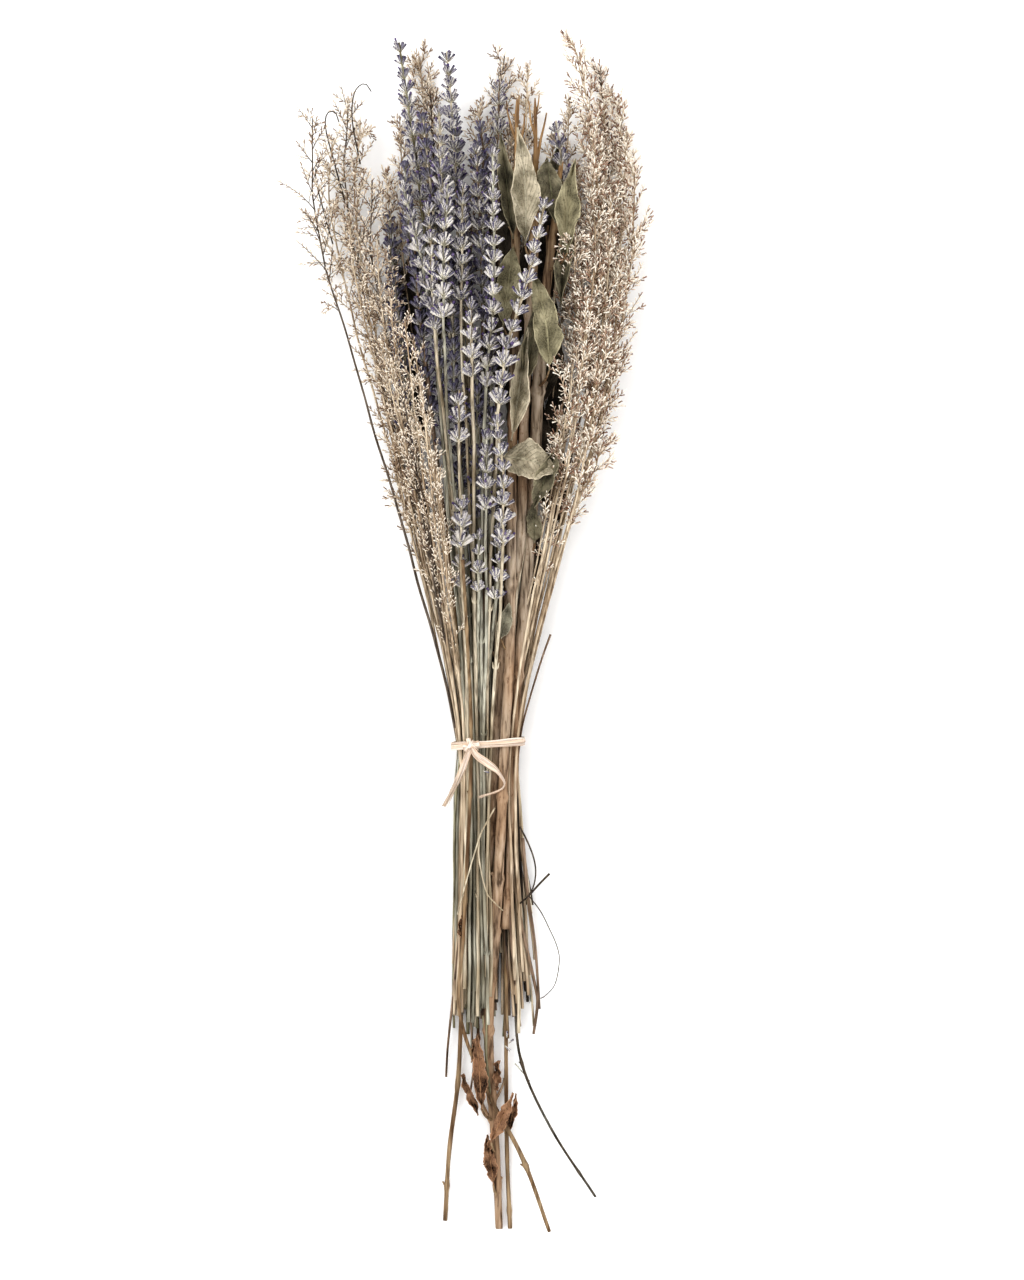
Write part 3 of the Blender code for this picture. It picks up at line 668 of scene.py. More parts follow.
# lavender deeper in the bunch: (x, y) of the tip and the spike's foot, height, x at the tie, foot y
innerLavender = [
    ((-34, 236), (-29, 176), 24, -5, -186), ((-25, 262), (-20, 206), 30, -3, -178),
    ((-16, 240), (-13, 178), 20, 0, -190), ((-9, 262), (-6, 208), 22, 2, -172),
    ((-4, 222), (-3, 164), 30, 3, -184), ((5, 220), (5, 158), 34, 5, -192),
    ((-30, 200), (-25, 150), 30, -4, -174), ((-21, 186), (-17, 134), 32, -2, -188),
    ((-12, 200), (-10, 146), 36, 0, -180), ((-27, 160), (-22, 112), 26, -3, -170),
    ((-10, 150), (-8, 100), 34, 1, -194), ((-18, 142), (-14, 96), 28, -1, -182),
    ((1, 150), (2, 104), 34, 3, -176), ((9, 150), (9, 108), 36, 6, -186),
    ((-40, 184), (-34, 132), 20, -6, -180), ((3, 262), (5, 214), 20, 5, -174),
    ((12, 90), (10, 60), 26, 6, -182), ((1, 96), (2, 58), 30, 3, -178),
    ((-43, 214), (-38, 158), 13, -7, -184), ((-40, 152), (-34, 104), 22, -6, -176),
    ((-36, 118), (-28, 74), 16, -5, -180), ((-8, 120), (-6, 76), 24, 2, -186),
]
# and a few short spikes low on the face
lowLavender = [
    ((13, 60), (11, 20), 35, 5, -184), ((-7, 62), (-6, 26), 34, 0, -178), ((2, 54), (2, 24), 37, 3, -188),
]


def makeInnerLavender():
    rng = random.Random(7)
    for n, (tip, foot, height, tieX, buttY) in enumerate(innerLavender + lowLavender, 1):
        z = rng.uniform(5, 17) * mm
        knots = np.array([
            (tieX * 0.9 * mm + rng.uniform(-2, 2) * mm, buttY * mm, z * 0.6 + 1.2 * mm, 0.9 * mm),
            (tieX * mm, tieY, z, 0.9 * mm),
            (foot[0] * mm, foot[1] * mm, height * 0.85 * mm, 4 * mm),
            (tip[0] * mm, tip[1] * mm, height * mm, 4 * mm)])
        # the spikes deep in the bunch are painted near-black as shade; the low ones are pale
        look, fullness = (paintedShadeSpike, 0.96) if n <= len(innerLavender) else (openSpike, 0.86)
        makeLavender(f"inner_lavender_{n:02d}", knots, rng, (), look, fullness)


makeInnerLavender()
print("inner lavender made")


# sea lavender
spray = {
    "stalkRadius": 0.80 * mm, "tipRadius": 0.3 * mm, "branchGap": 5.0 * mm, "branchRadius": 0.25 * mm,
    "shootRadius": 0.15 * mm, "floretGap": 1.35 * mm, "ribContrast": 0.22,
}


def growSpray(store, path, start, reach, rng, look):
    # look: the branches' angle and bend, how full they are, and the florets' size and tint
    at = lengthsAlong(path)
    ahead, across, up = framesAlong(path)
    florets = newCopies()

    def put(point, way, size):
        # most are pale, some are rusty
        rusty = rng.random() < look["rusty"]
        tint = rng.gauss(0.10, 0.08) if rusty else rng.gauss(look["tint"], 0.18)
        noteCopy(florets, at=point, ahead=way, size=size * look["size"], tint=min(1.0, max(0.0, tint)))

    def growShoot(line, radius, firstShare, lift):
        # a shoot with florets packed along both its sides, pointing forwards
        addTube(store, line, taper(line, 1.0, 0.6) * radius, 4, 1)
        steps = np.linalg.norm(np.diff(line, axis=0), axis=1)
        marks = np.concatenate([[0], np.cumsum(steps)])
        s = marks[-1] * firstShare
        flip = 1
        while s < marks[-1]:
            k = min(int(np.searchsorted(marks, s, side="right")) - 1, len(line) - 2)
            way = (line[k + 1] - line[k]) / steps[k]
            side = np.cross(way, lift)
            side /= np.linalg.norm(side) + 1e-9
            over = np.cross(side, way)
            lean = math.radians(rng.uniform(22, 44))
            turn = rng.uniform(-0.9, 0.9)
            out = side * flip * math.cos(turn) + over * math.sin(turn)
            point = line[k] + way * (s - marks[k])
            size = rng.uniform(0.8, 1.1) * (1.0 - 0.25 * s / marks[-1])
            put(point, way * math.cos(lean) + out * math.sin(lean), size)
            flip = -flip
            s += spray["floretGap"] * rng.uniform(0.7, 1.4)
        put(line[-1], line[-1] - line[-2], 0.8)

    def curved(base, way, out, length, lean, arch, steps):
        points = [base]
        for k in range(steps):
            bend = lean * (1.0 - arch * (k + 1) / steps)
            points.append(points[-1] + (way * math.cos(bend) + out * math.sin(bend)) * length / steps)
        return np.array(points)

    total = at[-1]
    s = start
    turn = anyTurn(rng)
    while s < total - 2 * mm:
        share = (s - start) / (total - start)
        i = min(int(np.searchsorted(at, s)), len(path) - 1)
        turn += 2.4 + rng.uniform(-0.4, 0.4)
        out = across[i] * math.cos(turn) + up[i] * math.sin(turn) * look["flat"]
        out /= np.linalg.norm(out) + 1e-9
        swell = min(1.0, 0.5 + share * 2.0) * (1.0 - 0.5 * max(0.0, share - 0.35) / 0.65)
        length = reach * swell * rng.uniform(0.75, 1.2)
        lean = math.radians(look["angle"] + rng.uniform(-8, 8))
        arch = rng.uniform(*look["bend"])
        here = np.array([np.interp(s, at, path[:, a]) for a in range(3)])
        branch = curved(here, ahead[i], out, length, lean, arch, 5)
        growShoot(branch, spray["branchRadius"], look["bare"], up[i])
        for spot in (1, 2, 3):
            if rng.random() > look["full"]:
                continue
            way = branch[spot + 1] - branch[spot]
            way /= np.linalg.norm(way)
            side = np.cross(way, up[i])
            side /= np.linalg.norm(side) + 1e-9
            side = side * rng.choice((-1, 1)) + up[i] * rng.uniform(-0.5, 0.5)
            growShoot(curved(branch[spot], way, side, length * (0.52 - 0.1 * spot) + 1.5 * mm,
                             math.radians(38), arch, 2), spray["shootRadius"], 0.2, up[i])
        s += spray["branchGap"] * look["gap"] * rng.uniform(0.7, 1.3) * (1.25 - 0.5 * share)
    topFirst = int(np.searchsorted(at, total - 16 * mm))
    if topFirst < len(path) - 1:
        growShoot(path[topFirst:], spray["shootRadius"], 0.1, up[-1])
    florets["roll"] = [anyTurn(rng) for _ in florets["at"]]
    standCopies(store, floretShape, florets, "cup", 0, spray["ribContrast"])


def makeSpray(name, points, startY, reach, rng, look, nodes=()):
    path = sway(smoothPath(points, stemStep), rng, 0.5 * mm)
    share = np.linspace(0, 1, len(path))
    store = newStore()
    addTube(store, path, spray["stalkRadius"] + (spray["tipRadius"] - spray["stalkRadius"]) * share ** 1.5,
            6, 1)
    start = float(np.interp(startY, path[:, 1], lengthsAlong(path)))
    growSpray(store, path, start, reach, rng, look)
    floret = pinkFloret if look["pink"] else warmFloret
    dark = bool(nodes) if look is airy else rng.random() < 0.15
    stalk = darkSprayStalk if dark else sprayStalk
    makePiece(name, store, [floret, stalk], nodes)


# bare: the share of a branch without florets; full: the chance of each side shoot;
# rusty: the share of dark florets
airy = {"angle": 30, "bend": (-1.0, 0.3), "bare": 0.3, "full": 0.62, "gap": 1.2, "flat": 0.7, "tint": 0.64,
        "rusty": 0.30, "pink": False, "size": 0.86}
dense = {"angle": 32, "bend": (-0.2, 0.8), "bare": 0.12, "full": 0.75, "gap": 1.0, "flat": 0.9, "tint": 0.90,
         "rusty": 0.34, "pink": True, "size": 0.98}
back = {"angle": 34, "bend": (-0.3, 0.8), "bare": 0.18, "full": 0.7, "gap": 1.0, "flat": 0.8, "tint": 0.64,
        "rusty": 0.34, "pink": False, "size": 0.98}
front = {"angle": 26, "bend": (-0.3, 0.8), "bare": 0.3, "full": 0.34, "gap": 1.45, "flat": 0.8, "tint": 0.92,
         "rusty": 0.2, "pink": False, "size": 0.8}
# look, reach of the branches, and the lowest branch's y
sprayLooks = {
    "01": (back, 20, 200), "02": (back, 20, 190), "03": (dense, 22, 120), "04": (back, 20, 170),
    "05": (airy, 24, 150), "06": (dense, 22, 110), "07": (dense, 20, 110), "08": (dense, 22, 140),
    "09": (airy, 22, 165), "10": (dense, 18, 60), "11": (airy, 22, 105), "12": (dense, 15, 55),
    "13": (dense, 20, 80), "14": (front, 16, 55), "15": (front, 15, 30),
}
for node in namesOf("sea_lavender_"):
    look, reach, startY = sprayLooks[node[-2:]]
    rings = centreLine(node, 1.5 * mm)
    makeSpray("look_" + node, rings[:, :3], startY * mm, reach * mm, random.Random(node), look, (node,))
print("sea lavender made")


# extra sprays behind and between, to fill the heads
# tip, middle, lowest branch (x, y), height at the tip, x at the tie, reach, look
extraSprays = [
    ((66, 276), (66, 220), (56, 150), 12, 20, 20, dense),
    ((58, 262), (62, 205), (54, 140), 26, 19, 20, dense),
    ((76, 256), (75, 205), (64, 140), 20, 22, 19, dense),
    ((69, 222), (66, 170), (56, 110), 38, 20, 19, dense),
    ((60, 232), (60, 180), (50, 112), 44, 19, 18, dense),
    ((74, 190), (70, 150), (60, 100), 30, 22, 18, dense),
    ((56, 170), (54, 130), (46, 80), 42, 18, 17, dense),
    ((52, 236), (54, 190), (47, 130), 20, 17, 18, dense),
    ((66, 150), (61, 118), (52, 76), 40, 20, 16, dense),
    ((48, 272), (48, 225), (44, 160), 10, 16, 17, back), ((20, 262), (17, 225), (12, 170), 8, 8, 16, back),
    ((-22, 276), (-21, 235), (-20, 180), 12, -2, 16, back),
    ((-72, 250), (-72, 215), (-60, 160), 16, -8, 22, airy),
    ((-58, 262), (-60, 220), (-50, 158), 14, -7, 22, airy),
    ((-62, 208), (-58, 175), (-47, 128), 26, -7, 18, airy),
    ((-48, 196), (-46, 160), (-36, 110), 38, -7, 16, airy),
    ((-46, 150), (-40, 118), (-30, 74), 34, -7, 15, front),
    ((-36, 126), (-30, 92), (-21, 48), 46, -6, 14, front),
    ((-24, 112), (-19, 80), (-14, 36), 50, -4, 12, front),
    ((44, 110), (40, 84), (34, 48), 32, 15, 12, dense), ((46, 82), (41, 60), (34, 26), 26, 17, 10, dense),
    ((-34, 158), (-29, 110), (-20, 52), 48, -6, 15, front),
    ((-40, 138), (-34, 96), (-24, 44), 40, -7, 15, front),
    ((-27, 128), (-22, 90), (-15, 30), 52, -5, 13, front),
    ((-20, 92), (-16, 62), (-12, 18), 48, -4, 11, front),
    ((-31, 96), (-26, 66), (-18, 20), 40, -6, 13, front),
    ((-56, 190), (-52, 158), (-43, 112), 20, -7, 17, airy),
    ((-50, 168), (-47, 136), (-38, 84), 16, -7, 16, airy),
    ((-47, 140), (-41, 104), (-32, 56), 20, -7, 15, back),
    ((-40, 118), (-36, 84), (-26, 34), 14, -7, 13, back),
    ((-38, 262), (-37, 226), (-34, 176), 12, -4, 15, back),
    ((3, 272), (2, 236), (-1, 184), 10, 3, 15, back),
    ((-45, 236), (-43, 200), (-38, 150), 10, -5, 15, back),
    ((40, 252), (40, 218), (38, 170), 8, 14, 14, back), ((62, 116), (55, 92), (45, 60), 12, 19, 10, dense),
]


def makeExtraSprays():
    rng = random.Random(21)
    for n, (tip, middle, lowest, height, tieX, reach, look) in enumerate(extraSprays, 1):
        buttY = rng.uniform(-192, -164)
        points = [(tieX * 1.15 + rng.uniform(-3, 3), buttY, rng.uniform(1.5, 7)),
                  (tieX, tieY / mm, rng.uniform(4, 12)),
                  (*lowest, height * 0.8), (*middle, height * 0.95), (*tip, height)]
        startY = lowest[1] - (24 if look is front else 0)
        makeSpray(f"extra_sea_lavender_{n:02d}", np.array(points) * mm, startY * mm, reach * mm,
                  rng, look)


makeExtraSprays()
print("extra sprays made")


# woody branches and twigs
bark = {
    "light": (0.68, 0.62, 0.55), "dark": (0.38, 0.33, 0.28), "lichen": (0.80, 0.75, 0.69),
    "ruddy": (0.90, 0.82, 0.75), "speck": (0.66, 0.58, 0.52), "bare": (0.72, 0.60, 0.45),
    "bareDark": (0.36, 0.27, 0.20), "bareFrom": (0.15, 0.235),
    "step": 3 * mm, "sides": 14, "knotGap": 34 * mm, "knotSwell": 0.34,
}


def makeBarkMaterial():
    material, tree, shader = startMaterial("bark", 0.88)
    where = objectPlace(tree)
    grain = noise(tree, where, 520.0, 6.0, (1.0, 0.10, 1.0))
    patch = noise(tree, where, 42.0, 4.0, (1.0, 0.35, 1.0))
    specks = noise(tree, where, 800.0, 2.0, (1.0, 0.5, 1.0))
    colour = ramp(tree, grain, [(0.32, bark["dark"]), (0.5, bark["light"]), (0.75, bark["lichen"])])
    for source, stops, share in ((patch, [(0.38, white), (0.62, bark["ruddy"])], 0.9),
                                 (specks, [(0.62, white), (0.70, bark["speck"])], 0.45)):
        colour = blendColours(tree, colour, ramp(tree, source, stops), share, "MULTIPLY")
    # bare orange wood towards the upper, cut ends
    split = tree.nodes.new("ShaderNodeSeparateXYZ")
    tree.links.new(where, split.inputs["Vector"])
    high = mapRange(tree, split.outputs["Y"], *bark["bareFrom"])
    bareWood = ramp(tree, grain, [(0.3, bark["bareDark"]), (0.7, bark["bare"])])
    colour = blendColours(tree, colour, bareWood, high)
    tree.links.new(colour, shader.inputs["Base Color"])
    addBump(tree, shader, grain, 0.0006, 0.8)
    return material


barkMaterial = makeBarkMaterial()
twigSpots = (0.74, 0.66, 0.60)
twigMaterial = makeGrainMaterial("twigBark", (0.66, 0.58, 0.47), (0.38, 0.31, 0.24), twigSpots, twigGrain)
darkTwigMaterial = makeGrainMaterial("darkTwig", (0.46, 0.44, 0.40), (0.24, 0.23, 0.21), twigSpots, twigGrain)


def knobblyRadii(path, radii, rng, gap, swell):
    # nodes along a branch: short swellings, a little thinner between them
    at = lengthsAlong(path)
    where, s = [], rng.uniform(0.2, 0.8) * gap
    while s < at[-1]:
        where.append(s)
        s += gap * rng.uniform(0.7, 1.4)
    grown = np.ones(len(path))
    for w in where:
        clear = min(1.0, abs(np.interp(w, at, path[:, 1]) - tieY) / (14 * mm))
        grown += swell * clear ** 2 * np.exp(-((at - w) / (1.8 * mm)) ** 2)
    grown *= 1.0 + 0.035 * np.sin(at / (5.3 * mm)) + 0.025 * np.sin(at / (2.9 * mm) + 1.0)
    return radii * grown, [int(np.argmin(abs(at - w))) for w in where]


def growStub(store, base, out, ahead, length, radius):
    # a short cut side shoot or bud leaving a knot
    tip = base + out * length * 0.75 + ahead * length * 0.65
    middle = base + out * length * 0.45 + ahead * length * 0.2
    addTube(store, [base, middle, tip], np.array([1.25, 1.0, 0.72]) * radius, 7, 0)


def makeWoody(name, nodeName, rng, material, slotName, gap, swell, sides, stubs):
    rings = centreLine(nodeName)
    path = smoothPath(rings[:, :3], bark["step"])
    radii = np.interp(path[:, 1], rings[:, 1], rings[:, 3])
    radii, knots = knobblyRadii(path, radii, rng, gap, swell)
    if slotName == "bark":
        # broken, drawn-out upper end
        fromTip = path[-1, 1] - path[:, 1]
        radii = radii * np.interp(fromTip, [0.0, 5 * mm, 26 * mm, 70 * mm], [0.2, 0.46, 0.58, 1.0])
    ahead, across, up = framesAlong(path)
    store = newStore()
    addTube(store, path, radii, sides, 0)
    for n in knots:
        if rng.random() > stubs:
            continue
        turn = rng.uniform(-0.4, 3.5)
        out = across[n] * math.cos(turn) + up[n] * math.sin(turn)
        length = rng.uniform(2.2, 4.0) * radii[n] / 0.0025 * mm * 1.3
        growStub(store, path[n], out, ahead[n], length, radii[n] * 0.34)
    if slotName == "bark":
        growSplinters(store, path, radii, ahead, across, up, rng)
    if nodeName == "leaf_branch_03":
        growFoot(store, path)
    makePiece(name, store, [material], (nodeName,))


def growSplinters(store, path, radii, ahead, across, up, rng):
    # short forked twigs near the upper end
    top = path[-1, 1]
    for back, reach, sideways in ((34, 26, 1), (22, 20, -1), (48, 18, -1), (10, 11, 1)):
        n = int(np.argmin(abs(path[:, 1] - (top - back * mm))))
        out = across[n] * sideways * rng.uniform(0.18, 0.32) + up[n] * rng.uniform(-0.05, 0.16)
        line = [path[n]]
        for k in range(4):
            nudge = across[n] * rng.uniform(-0.10, 0.10) + up[n] * rng.uniform(-0.06, 0.06)
            line.append(line[-1] + (ahead[n] + out * (1.0 - 0.2 * k) + nudge) * reach / 4 * mm)
        line = smoothPath(line, 2 * mm)
        addTube(store, line, taper(line, 0.75, 0.25) * radii[n], 7, 0)


def growFoot(store, path):
    # side shoots low on the long branch: where each leaves it, its reach and its thickness
    for y, (x, rise), thick in ((-249, (-10, 26), 0.9), (-238, (6, 14), 0.7), (-222, (-6, 16), 0.7)):
        base = path[int(np.argmin(abs(path[:, 1] - y * mm)))]
        knots = ((0, 0, 0), (x * 0.45, rise * 0.35, 0.6), (x * 0.9, rise * 0.75, 1.0), (x, rise, 1.4))
        line = smoothPath([base + np.array(knot) * mm for knot in knots], 2.5 * mm)
        addTube(store, line, taper(line, 1.25, 0.75) * thick * mm, 8, 0)


for node in namesOf("leaf_branch_"):
    makeWoody("look_" + node, node, random.Random(node), barkMaterial, "bark", bark["knotGap"],
              bark["knotSwell"], bark["sides"], 0.55)
for node in namesOf("twig_"):
    material = darkTwigMaterial if node == "twig_02" else twigMaterial
    makeWoody("look_" + node, node, random.Random(node), material, "twig", 46 * mm, 0.4, 9, 0.3)
print("branches and twigs made")


# leaves
# light, dark and vein
leafColours = {
    "pale": ((0.78, 0.74, 0.66), (0.48, 0.45, 0.38), (0.80, 0.77, 0.68)),
    "olive": ((0.67, 0.64, 0.54), (0.38, 0.36, 0.29), (0.74, 0.71, 0.59)),
    "dark": ((0.58, 0.55, 0.47), (0.27, 0.25, 0.21), (0.62, 0.61, 0.50)),
    # painted shade: a near-black leaf colour for leaves laid deep in the bunch, where there is only shade
    "shade": ((0.34, 0.31, 0.27), (0.14, 0.12, 0.11), (0.34, 0.32, 0.27)),
    "grey": ((0.66, 0.64, 0.57), (0.46, 0.44, 0.39), (0.72, 0.71, 0.63)),
    "rust": ((0.66, 0.53, 0.43), (0.14, 0.09, 0.075), (0.80, 0.64, 0.50)),
}


def makeLeafMaterial(name, light, dark, vein):
    # u runs across the blade from 0 to 1, v along it, read from the piece's own map
    material, tree, shader = startMaterial(name, 0.9)
    _, acrossBlade, alongBlade = mapSplit(tree, "blade")
    where = objectPlace(tree)

    def work(kind, *values):
        made = tree.nodes.new("ShaderNodeMath")
        made.operation = kind
        for socket, value in zip(made.inputs, values):
            setOrLink(tree, socket, value)
        return made.outputs[0]

    off = work("ABSOLUTE", work("SUBTRACT", acrossBlade, 0.5))
    # side veins slope forward from the midrib; finer ones lie between them
    wave = noise(tree, where, 140.0, 2.0)
    climb = work("SUBTRACT", work("MULTIPLY", alongBlade, 11.0), work("MULTIPLY", off, 7.0))
    climb = work("ADD", climb, work("MULTIPLY", wave, 0.9))
    sideVein = mapRange(tree, work("PINGPONG", climb, 0.5), 0.0, 0.10, 1.0, 0.0)
    midrib = mapRange(tree, off, 0.008, 0.05, 1.0, 0.0)
    fine = noise(tree, where, 1500.0, 3.0)
    net = tree.nodes.new("ShaderNodeTexVoronoi")
    net.feature = "DISTANCE_TO_EDGE"
    net.inputs["Scale"].default_value = 700.0
    tree.links.new(where, net.inputs["Vector"])
    cells = mapRange(tree, net.outputs["Distance"], 0.0, 0.12, 1.0, 0.0)
    mottle = noise(tree, where, 120.0, 4.0)
    base = ramp(tree, mottle, [(0.36, dark), (0.62, light)])
    for lines, share in ((cells, 0.26), (sideVein, 0.55), (midrib, 0.85)):
        base = blendColours(tree, base, tone(*vein), work("MULTIPLY", lines, share))
    # a paler rim along the margins, and dark specks
    edge = mapRange(tree, off, 0.46, 0.5, 0.0, 0.55)
    base = blendColours(tree, base, tone(*[min(1.0, c * 1.22) for c in light]), edge)
    speck = mapRange(tree, noise(tree, where, 900.0, 2.0), 0.60, 0.70, 0.0, 0.55)
    base = blendColours(tree, base, tone(*[c * 0.55 for c in dark]), speck)
    tree.links.new(base, shader.inputs["Base Color"])
    rise = work("ADD", work("MULTIPLY", sideVein, 0.6), work("MULTIPLY", fine, 0.5))
    addBump(tree, shader, work("ADD", rise, midrib), 0.0007, 0.9)
    return material


leafMaterials = {kind: makeLeafMaterial(kind + "Leaf", *colours) for kind, colours in leafColours.items()}


# fold, twist: degrees; wave, bow, crease, thick: millimetres; curl: how far the margins roll up;
# tail: how drawn out the point is; drop and rise: how a leaf hangs between its foot and its tip
plainBlade = {
    "fold": 0.0, "twist": 0.0, "curl": 0.0, "tail": 0.0, "bow": 0.0, "crease": 0.0, "thick": 0.35,
    "torn": 1.0, "across": 20, "rows": 44, "drop": 2.0, "rise": 2.5,
}
quiltHeight, grooveDepth = 0.16 * mm, 0.28 * mm


def halfWidth(u, t, width, tail, corners):
    # a stalk at the foot, the widest place below the middle, a drawn-out point
    body = max(0.0, (t - 0.05) / 0.95)
    half = 0.0
    if 0 < body < 1:
        half = width / 2 * math.sin(math.pi * body ** (0.80 - 0.1 * tail)) ** (0.85 + tail * 0.5)
    spots = np.linspace(0, 1, len(corners[1]))
    half *= 1.0 + (float(np.interp(t, spots, corners[1 if u > 0 else -1])) - 1.0) * abs(u)
    return max(half, 0.38 * mm * (1.0 - 0.4 * t))


def bladePoint(u, t, width, style, phase, corners):
    # how far sideways and how high a point of the blade is; u runs across from -1 to 1, t along
    half = halfWidth(u, t, width, style["tail"], corners)
    bites = (0.05 * math.sin(17 * t + phase[0] + u) + 0.03 * math.sin(41 * t + phase[1])
             + 0.02 * math.sin(73 * t + phase[2] - u))
    ragged = 1.0 + style["torn"] * bites
    edged = half * (1.0 + (ragged - 1.0) * abs(u))
    fold = math.radians(style["fold"])
    flat, lift = u * edged * math.cos(fold), abs(u) * half * math.tan(fold)
    if style["curl"]:
        # the margins roll up into a tube
        angle = u * style["curl"]
        flat = math.sin(angle) / style["curl"] * edged
        lift += (1 - math.cos(angle)) / style["curl"] * edged
    ripple = style["wave"] * mm * (
        math.sin(9 * t + phase[2] + u) * abs(u) + 0.5 * math.sin(19 * t + phase[3] - 2 * u) * u * u
        + 0.25 * math.sin(33 * t + phase[4] + 3 * u))
    lift += style["crease"] * mm * (abs(math.sin(7.3 * t + 1.7 * u + phase[5])) - 0.5
                                    + 0.5 * abs(math.sin(13.1 * t - 2.3 * u + phase[1])))
    # between the side veins the blade is puffed up a little
    quilt = quiltHeight * math.cos(2 * math.pi * (11 * t - 3.5 * abs(u))) * min(1.0, 3 * abs(u))
    height = lift + ripple + quilt * (half / (width / 2)) - grooveDepth * math.exp(-(u / 0.09) ** 2)
    turn = math.radians(style["twist"]) * (t - 0.45)
    sideways = flat * math.cos(turn) - height * math.sin(turn) + style["bow"] * mm * math.sin(math.pi * t)
    return sideways, flat * math.sin(turn) + height * math.cos(turn)


def modelBlade(name, foot, tip, width, look, shade, rng):
    # foot and tip are points in the frame
    style = {**plainBlade, **look}
    along = tip - foot
    side = np.cross(along / np.linalg.norm(along), (0, 0, 1.0))
    side /= np.linalg.norm(side)
    up = np.cross(side, along / np.linalg.norm(along))
    deselectAll()
    bpy.ops.mesh.primitive_grid_add(x_subdivisions=style["across"], y_subdivisions=style["rows"],
                                    size=1.0, location=(0, 0, 0))
    blade = bpy.context.object
    blade.name = name
    blade.data.uv_layers[0].name = "blade"
    phase = [anyTurn(rng) for _ in range(6)]
    # the outline of each side has corners of its own
    corners = {hand: [1.0] + [rng.uniform(0.74, 1.14) for _ in range(6)] + [1.0] for hand in (-1, 1)}
    for v in blade.data.vertices:
        t = v.co.y + 0.5
        sideways, high = bladePoint(v.co.x * 2.0, t, width, style, phase, corners)
        v.co = Vector(foot + along * t + side * sideways + up * high)
    thicken = blade.modifiers.new("thickness", "SOLIDIFY")
    thicken.thickness = style["thick"] * mm
    thicken.offset = 0.0
    bpy.context.view_layer.objects.active = blade
    blade.select_set(True)
    bpy.ops.object.modifier_apply(modifier=thicken.name)
    bpy.ops.object.mode_set(mode="EDIT")
    bpy.ops.mesh.select_all(action="SELECT")
    bpy.ops.mesh.normals_make_consistent(inside=False)
    bpy.ops.object.mode_set(mode="OBJECT")
    mesh = blade.data
    lowest = min(v.co.z for v in mesh.vertices)
    if lowest < floorGap:
        for v in mesh.vertices:
            v.co.z += floorGap - lowest
    mesh.polygons.foreach_set("use_smooth", np.ones(len(mesh.polygons), bool))
    mesh.materials.append(leafMaterials[shade])
    return blade


# each leaf: foot and tip (x, y) in millimetres, width, colour, then the style in this order
styleOrder = ("fold", "wave", "crease", "twist", "tail", "bow")
leafLooks = {
    "leaf_01": ((19, 200), (13, 252), 15, "dark", 50, 1.3, 1.0, 24, 0.4, 0),
    "leaf_02": ((25, 196), (21, 254), 15, "pale", 26, 1.5, 1.1, -20, 0.6, 2.0),
    "leaf_03": ((36, 240), (40, 207), 14, "dark", 34, 1.5, 1.1, 16, 0, 0),
    "leaf_04": ((46, 192), (50, 238), 16, "olive", 42, 1.3, 0.9, 10, 0.5, -2.0),
    "leaf_05": ((46, 209), (43, 166), 14, "dark", 52, 1.2, 0.9, -30, 0.6, 0),
    "leaf_06": ((14, 157), (19, 196), 15, "olive", 24, 1.4, 1.1, 14, 0, 0),
    "leaf_07": ((37, 134), (28, 184), 18, "olive", 26, 1.4, 1.2, -16, 0.6, 2.5),
    "leaf_08": ((18, 100), (27, 156), 16, "pale", 50, 1.3, 1.0, 30, 0.7, 0),
    "leaf_09": ((30, 49), (29, 69), 9, "dark", 34, 0.9, 0.6, 26, 0, 0),
    "leaf_10": ((13, 92), (42, 83), 24, "pale", 28, 2.0, 1.6, 22, 0.4, -2.5),
    "leaf_11": ((13, 1), (17, 19), 9, "grey", 32, 0.8, 0.5, -18, 0, 0),
}
crumpled = {"wave": 1.5, "crease": 1.5, "thick": 0.3, "across": 18, "torn": 3.0, "rise": 0.0}
# foot, tip, width, curl, twist and drop
dryLooks = {
    "dry_leaf_01": ((3, -237), (1, -199), 11, 1.5, 30, 4.0),
    "dry_leaf_02": ((8, -254), (19, -229), 9, 1.3, -35, 3.5),
    "dry_leaf_03": ((9, -276), (6, -251), 9, 1.5, 25, 2.6),
}
# how far the listed points are moved, in millimetres
shiftX, shiftY = 0.7, -0.5

branchLines = [centreLine(node)[:, :3] for node in namesOf("leaf_branch_")]
leafStalks = newStore()


def growLeafStalk(store, foot):
    # a thin stalk from the blade's foot back to the nearest branch
    spots = [np.array([np.interp(foot[1] - back, line[:, 1], line[:, a]) for a in range(3)])
             for line in branchLines for back in (7 * mm, 13 * mm)]
    base = min(spots, key=lambda spot: np.linalg.norm(spot - foot))
    bend = base + (foot - base) * np.array([0.65, 0.4, 0.6])
    path = smoothPath([base, bend, foot], 2 * mm)
    addTube(store, path, taper(path, 0.85, 0.5) * mm, 6, 0)


def makeLeaf(node, foot, tip, width, shade, style):
    low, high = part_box(node)
    # the foot hangs lower than the tip, towards the branch
    middle = (low[2] + high[2]) / 2 - style.get("drop", plainBlade["drop"]) * mm
    tilt = style.get("rise", plainBlade["rise"]) * mm
    ends = [np.array([(p[0] + shiftX) * mm, (p[1] + shiftY) * mm, middle + lift])
            for p, lift in ((foot, -tilt), (tip, tilt))]
    growLeafStalk(leafStalks, ends[0])
    leaf = modelBlade("look_" + node, *ends, width * mm, style, shade, random.Random(node))
    finishPiece(leaf, (node,))


for node, (foot, tip, width, shade, *style) in leafLooks.items():
    makeLeaf(node, foot, tip, width, shade, dict(zip(styleOrder, style)))
for node, (foot, tip, width, curl, twist, drop) in dryLooks.items():
    style = {**crumpled, "curl": curl, "twist": twist, "drop": drop}
    makeLeaf(node, foot, tip, width, "rust", style)
makePiece("leaf_stalks", leafStalks, [twigMaterial])
print("leaves made")

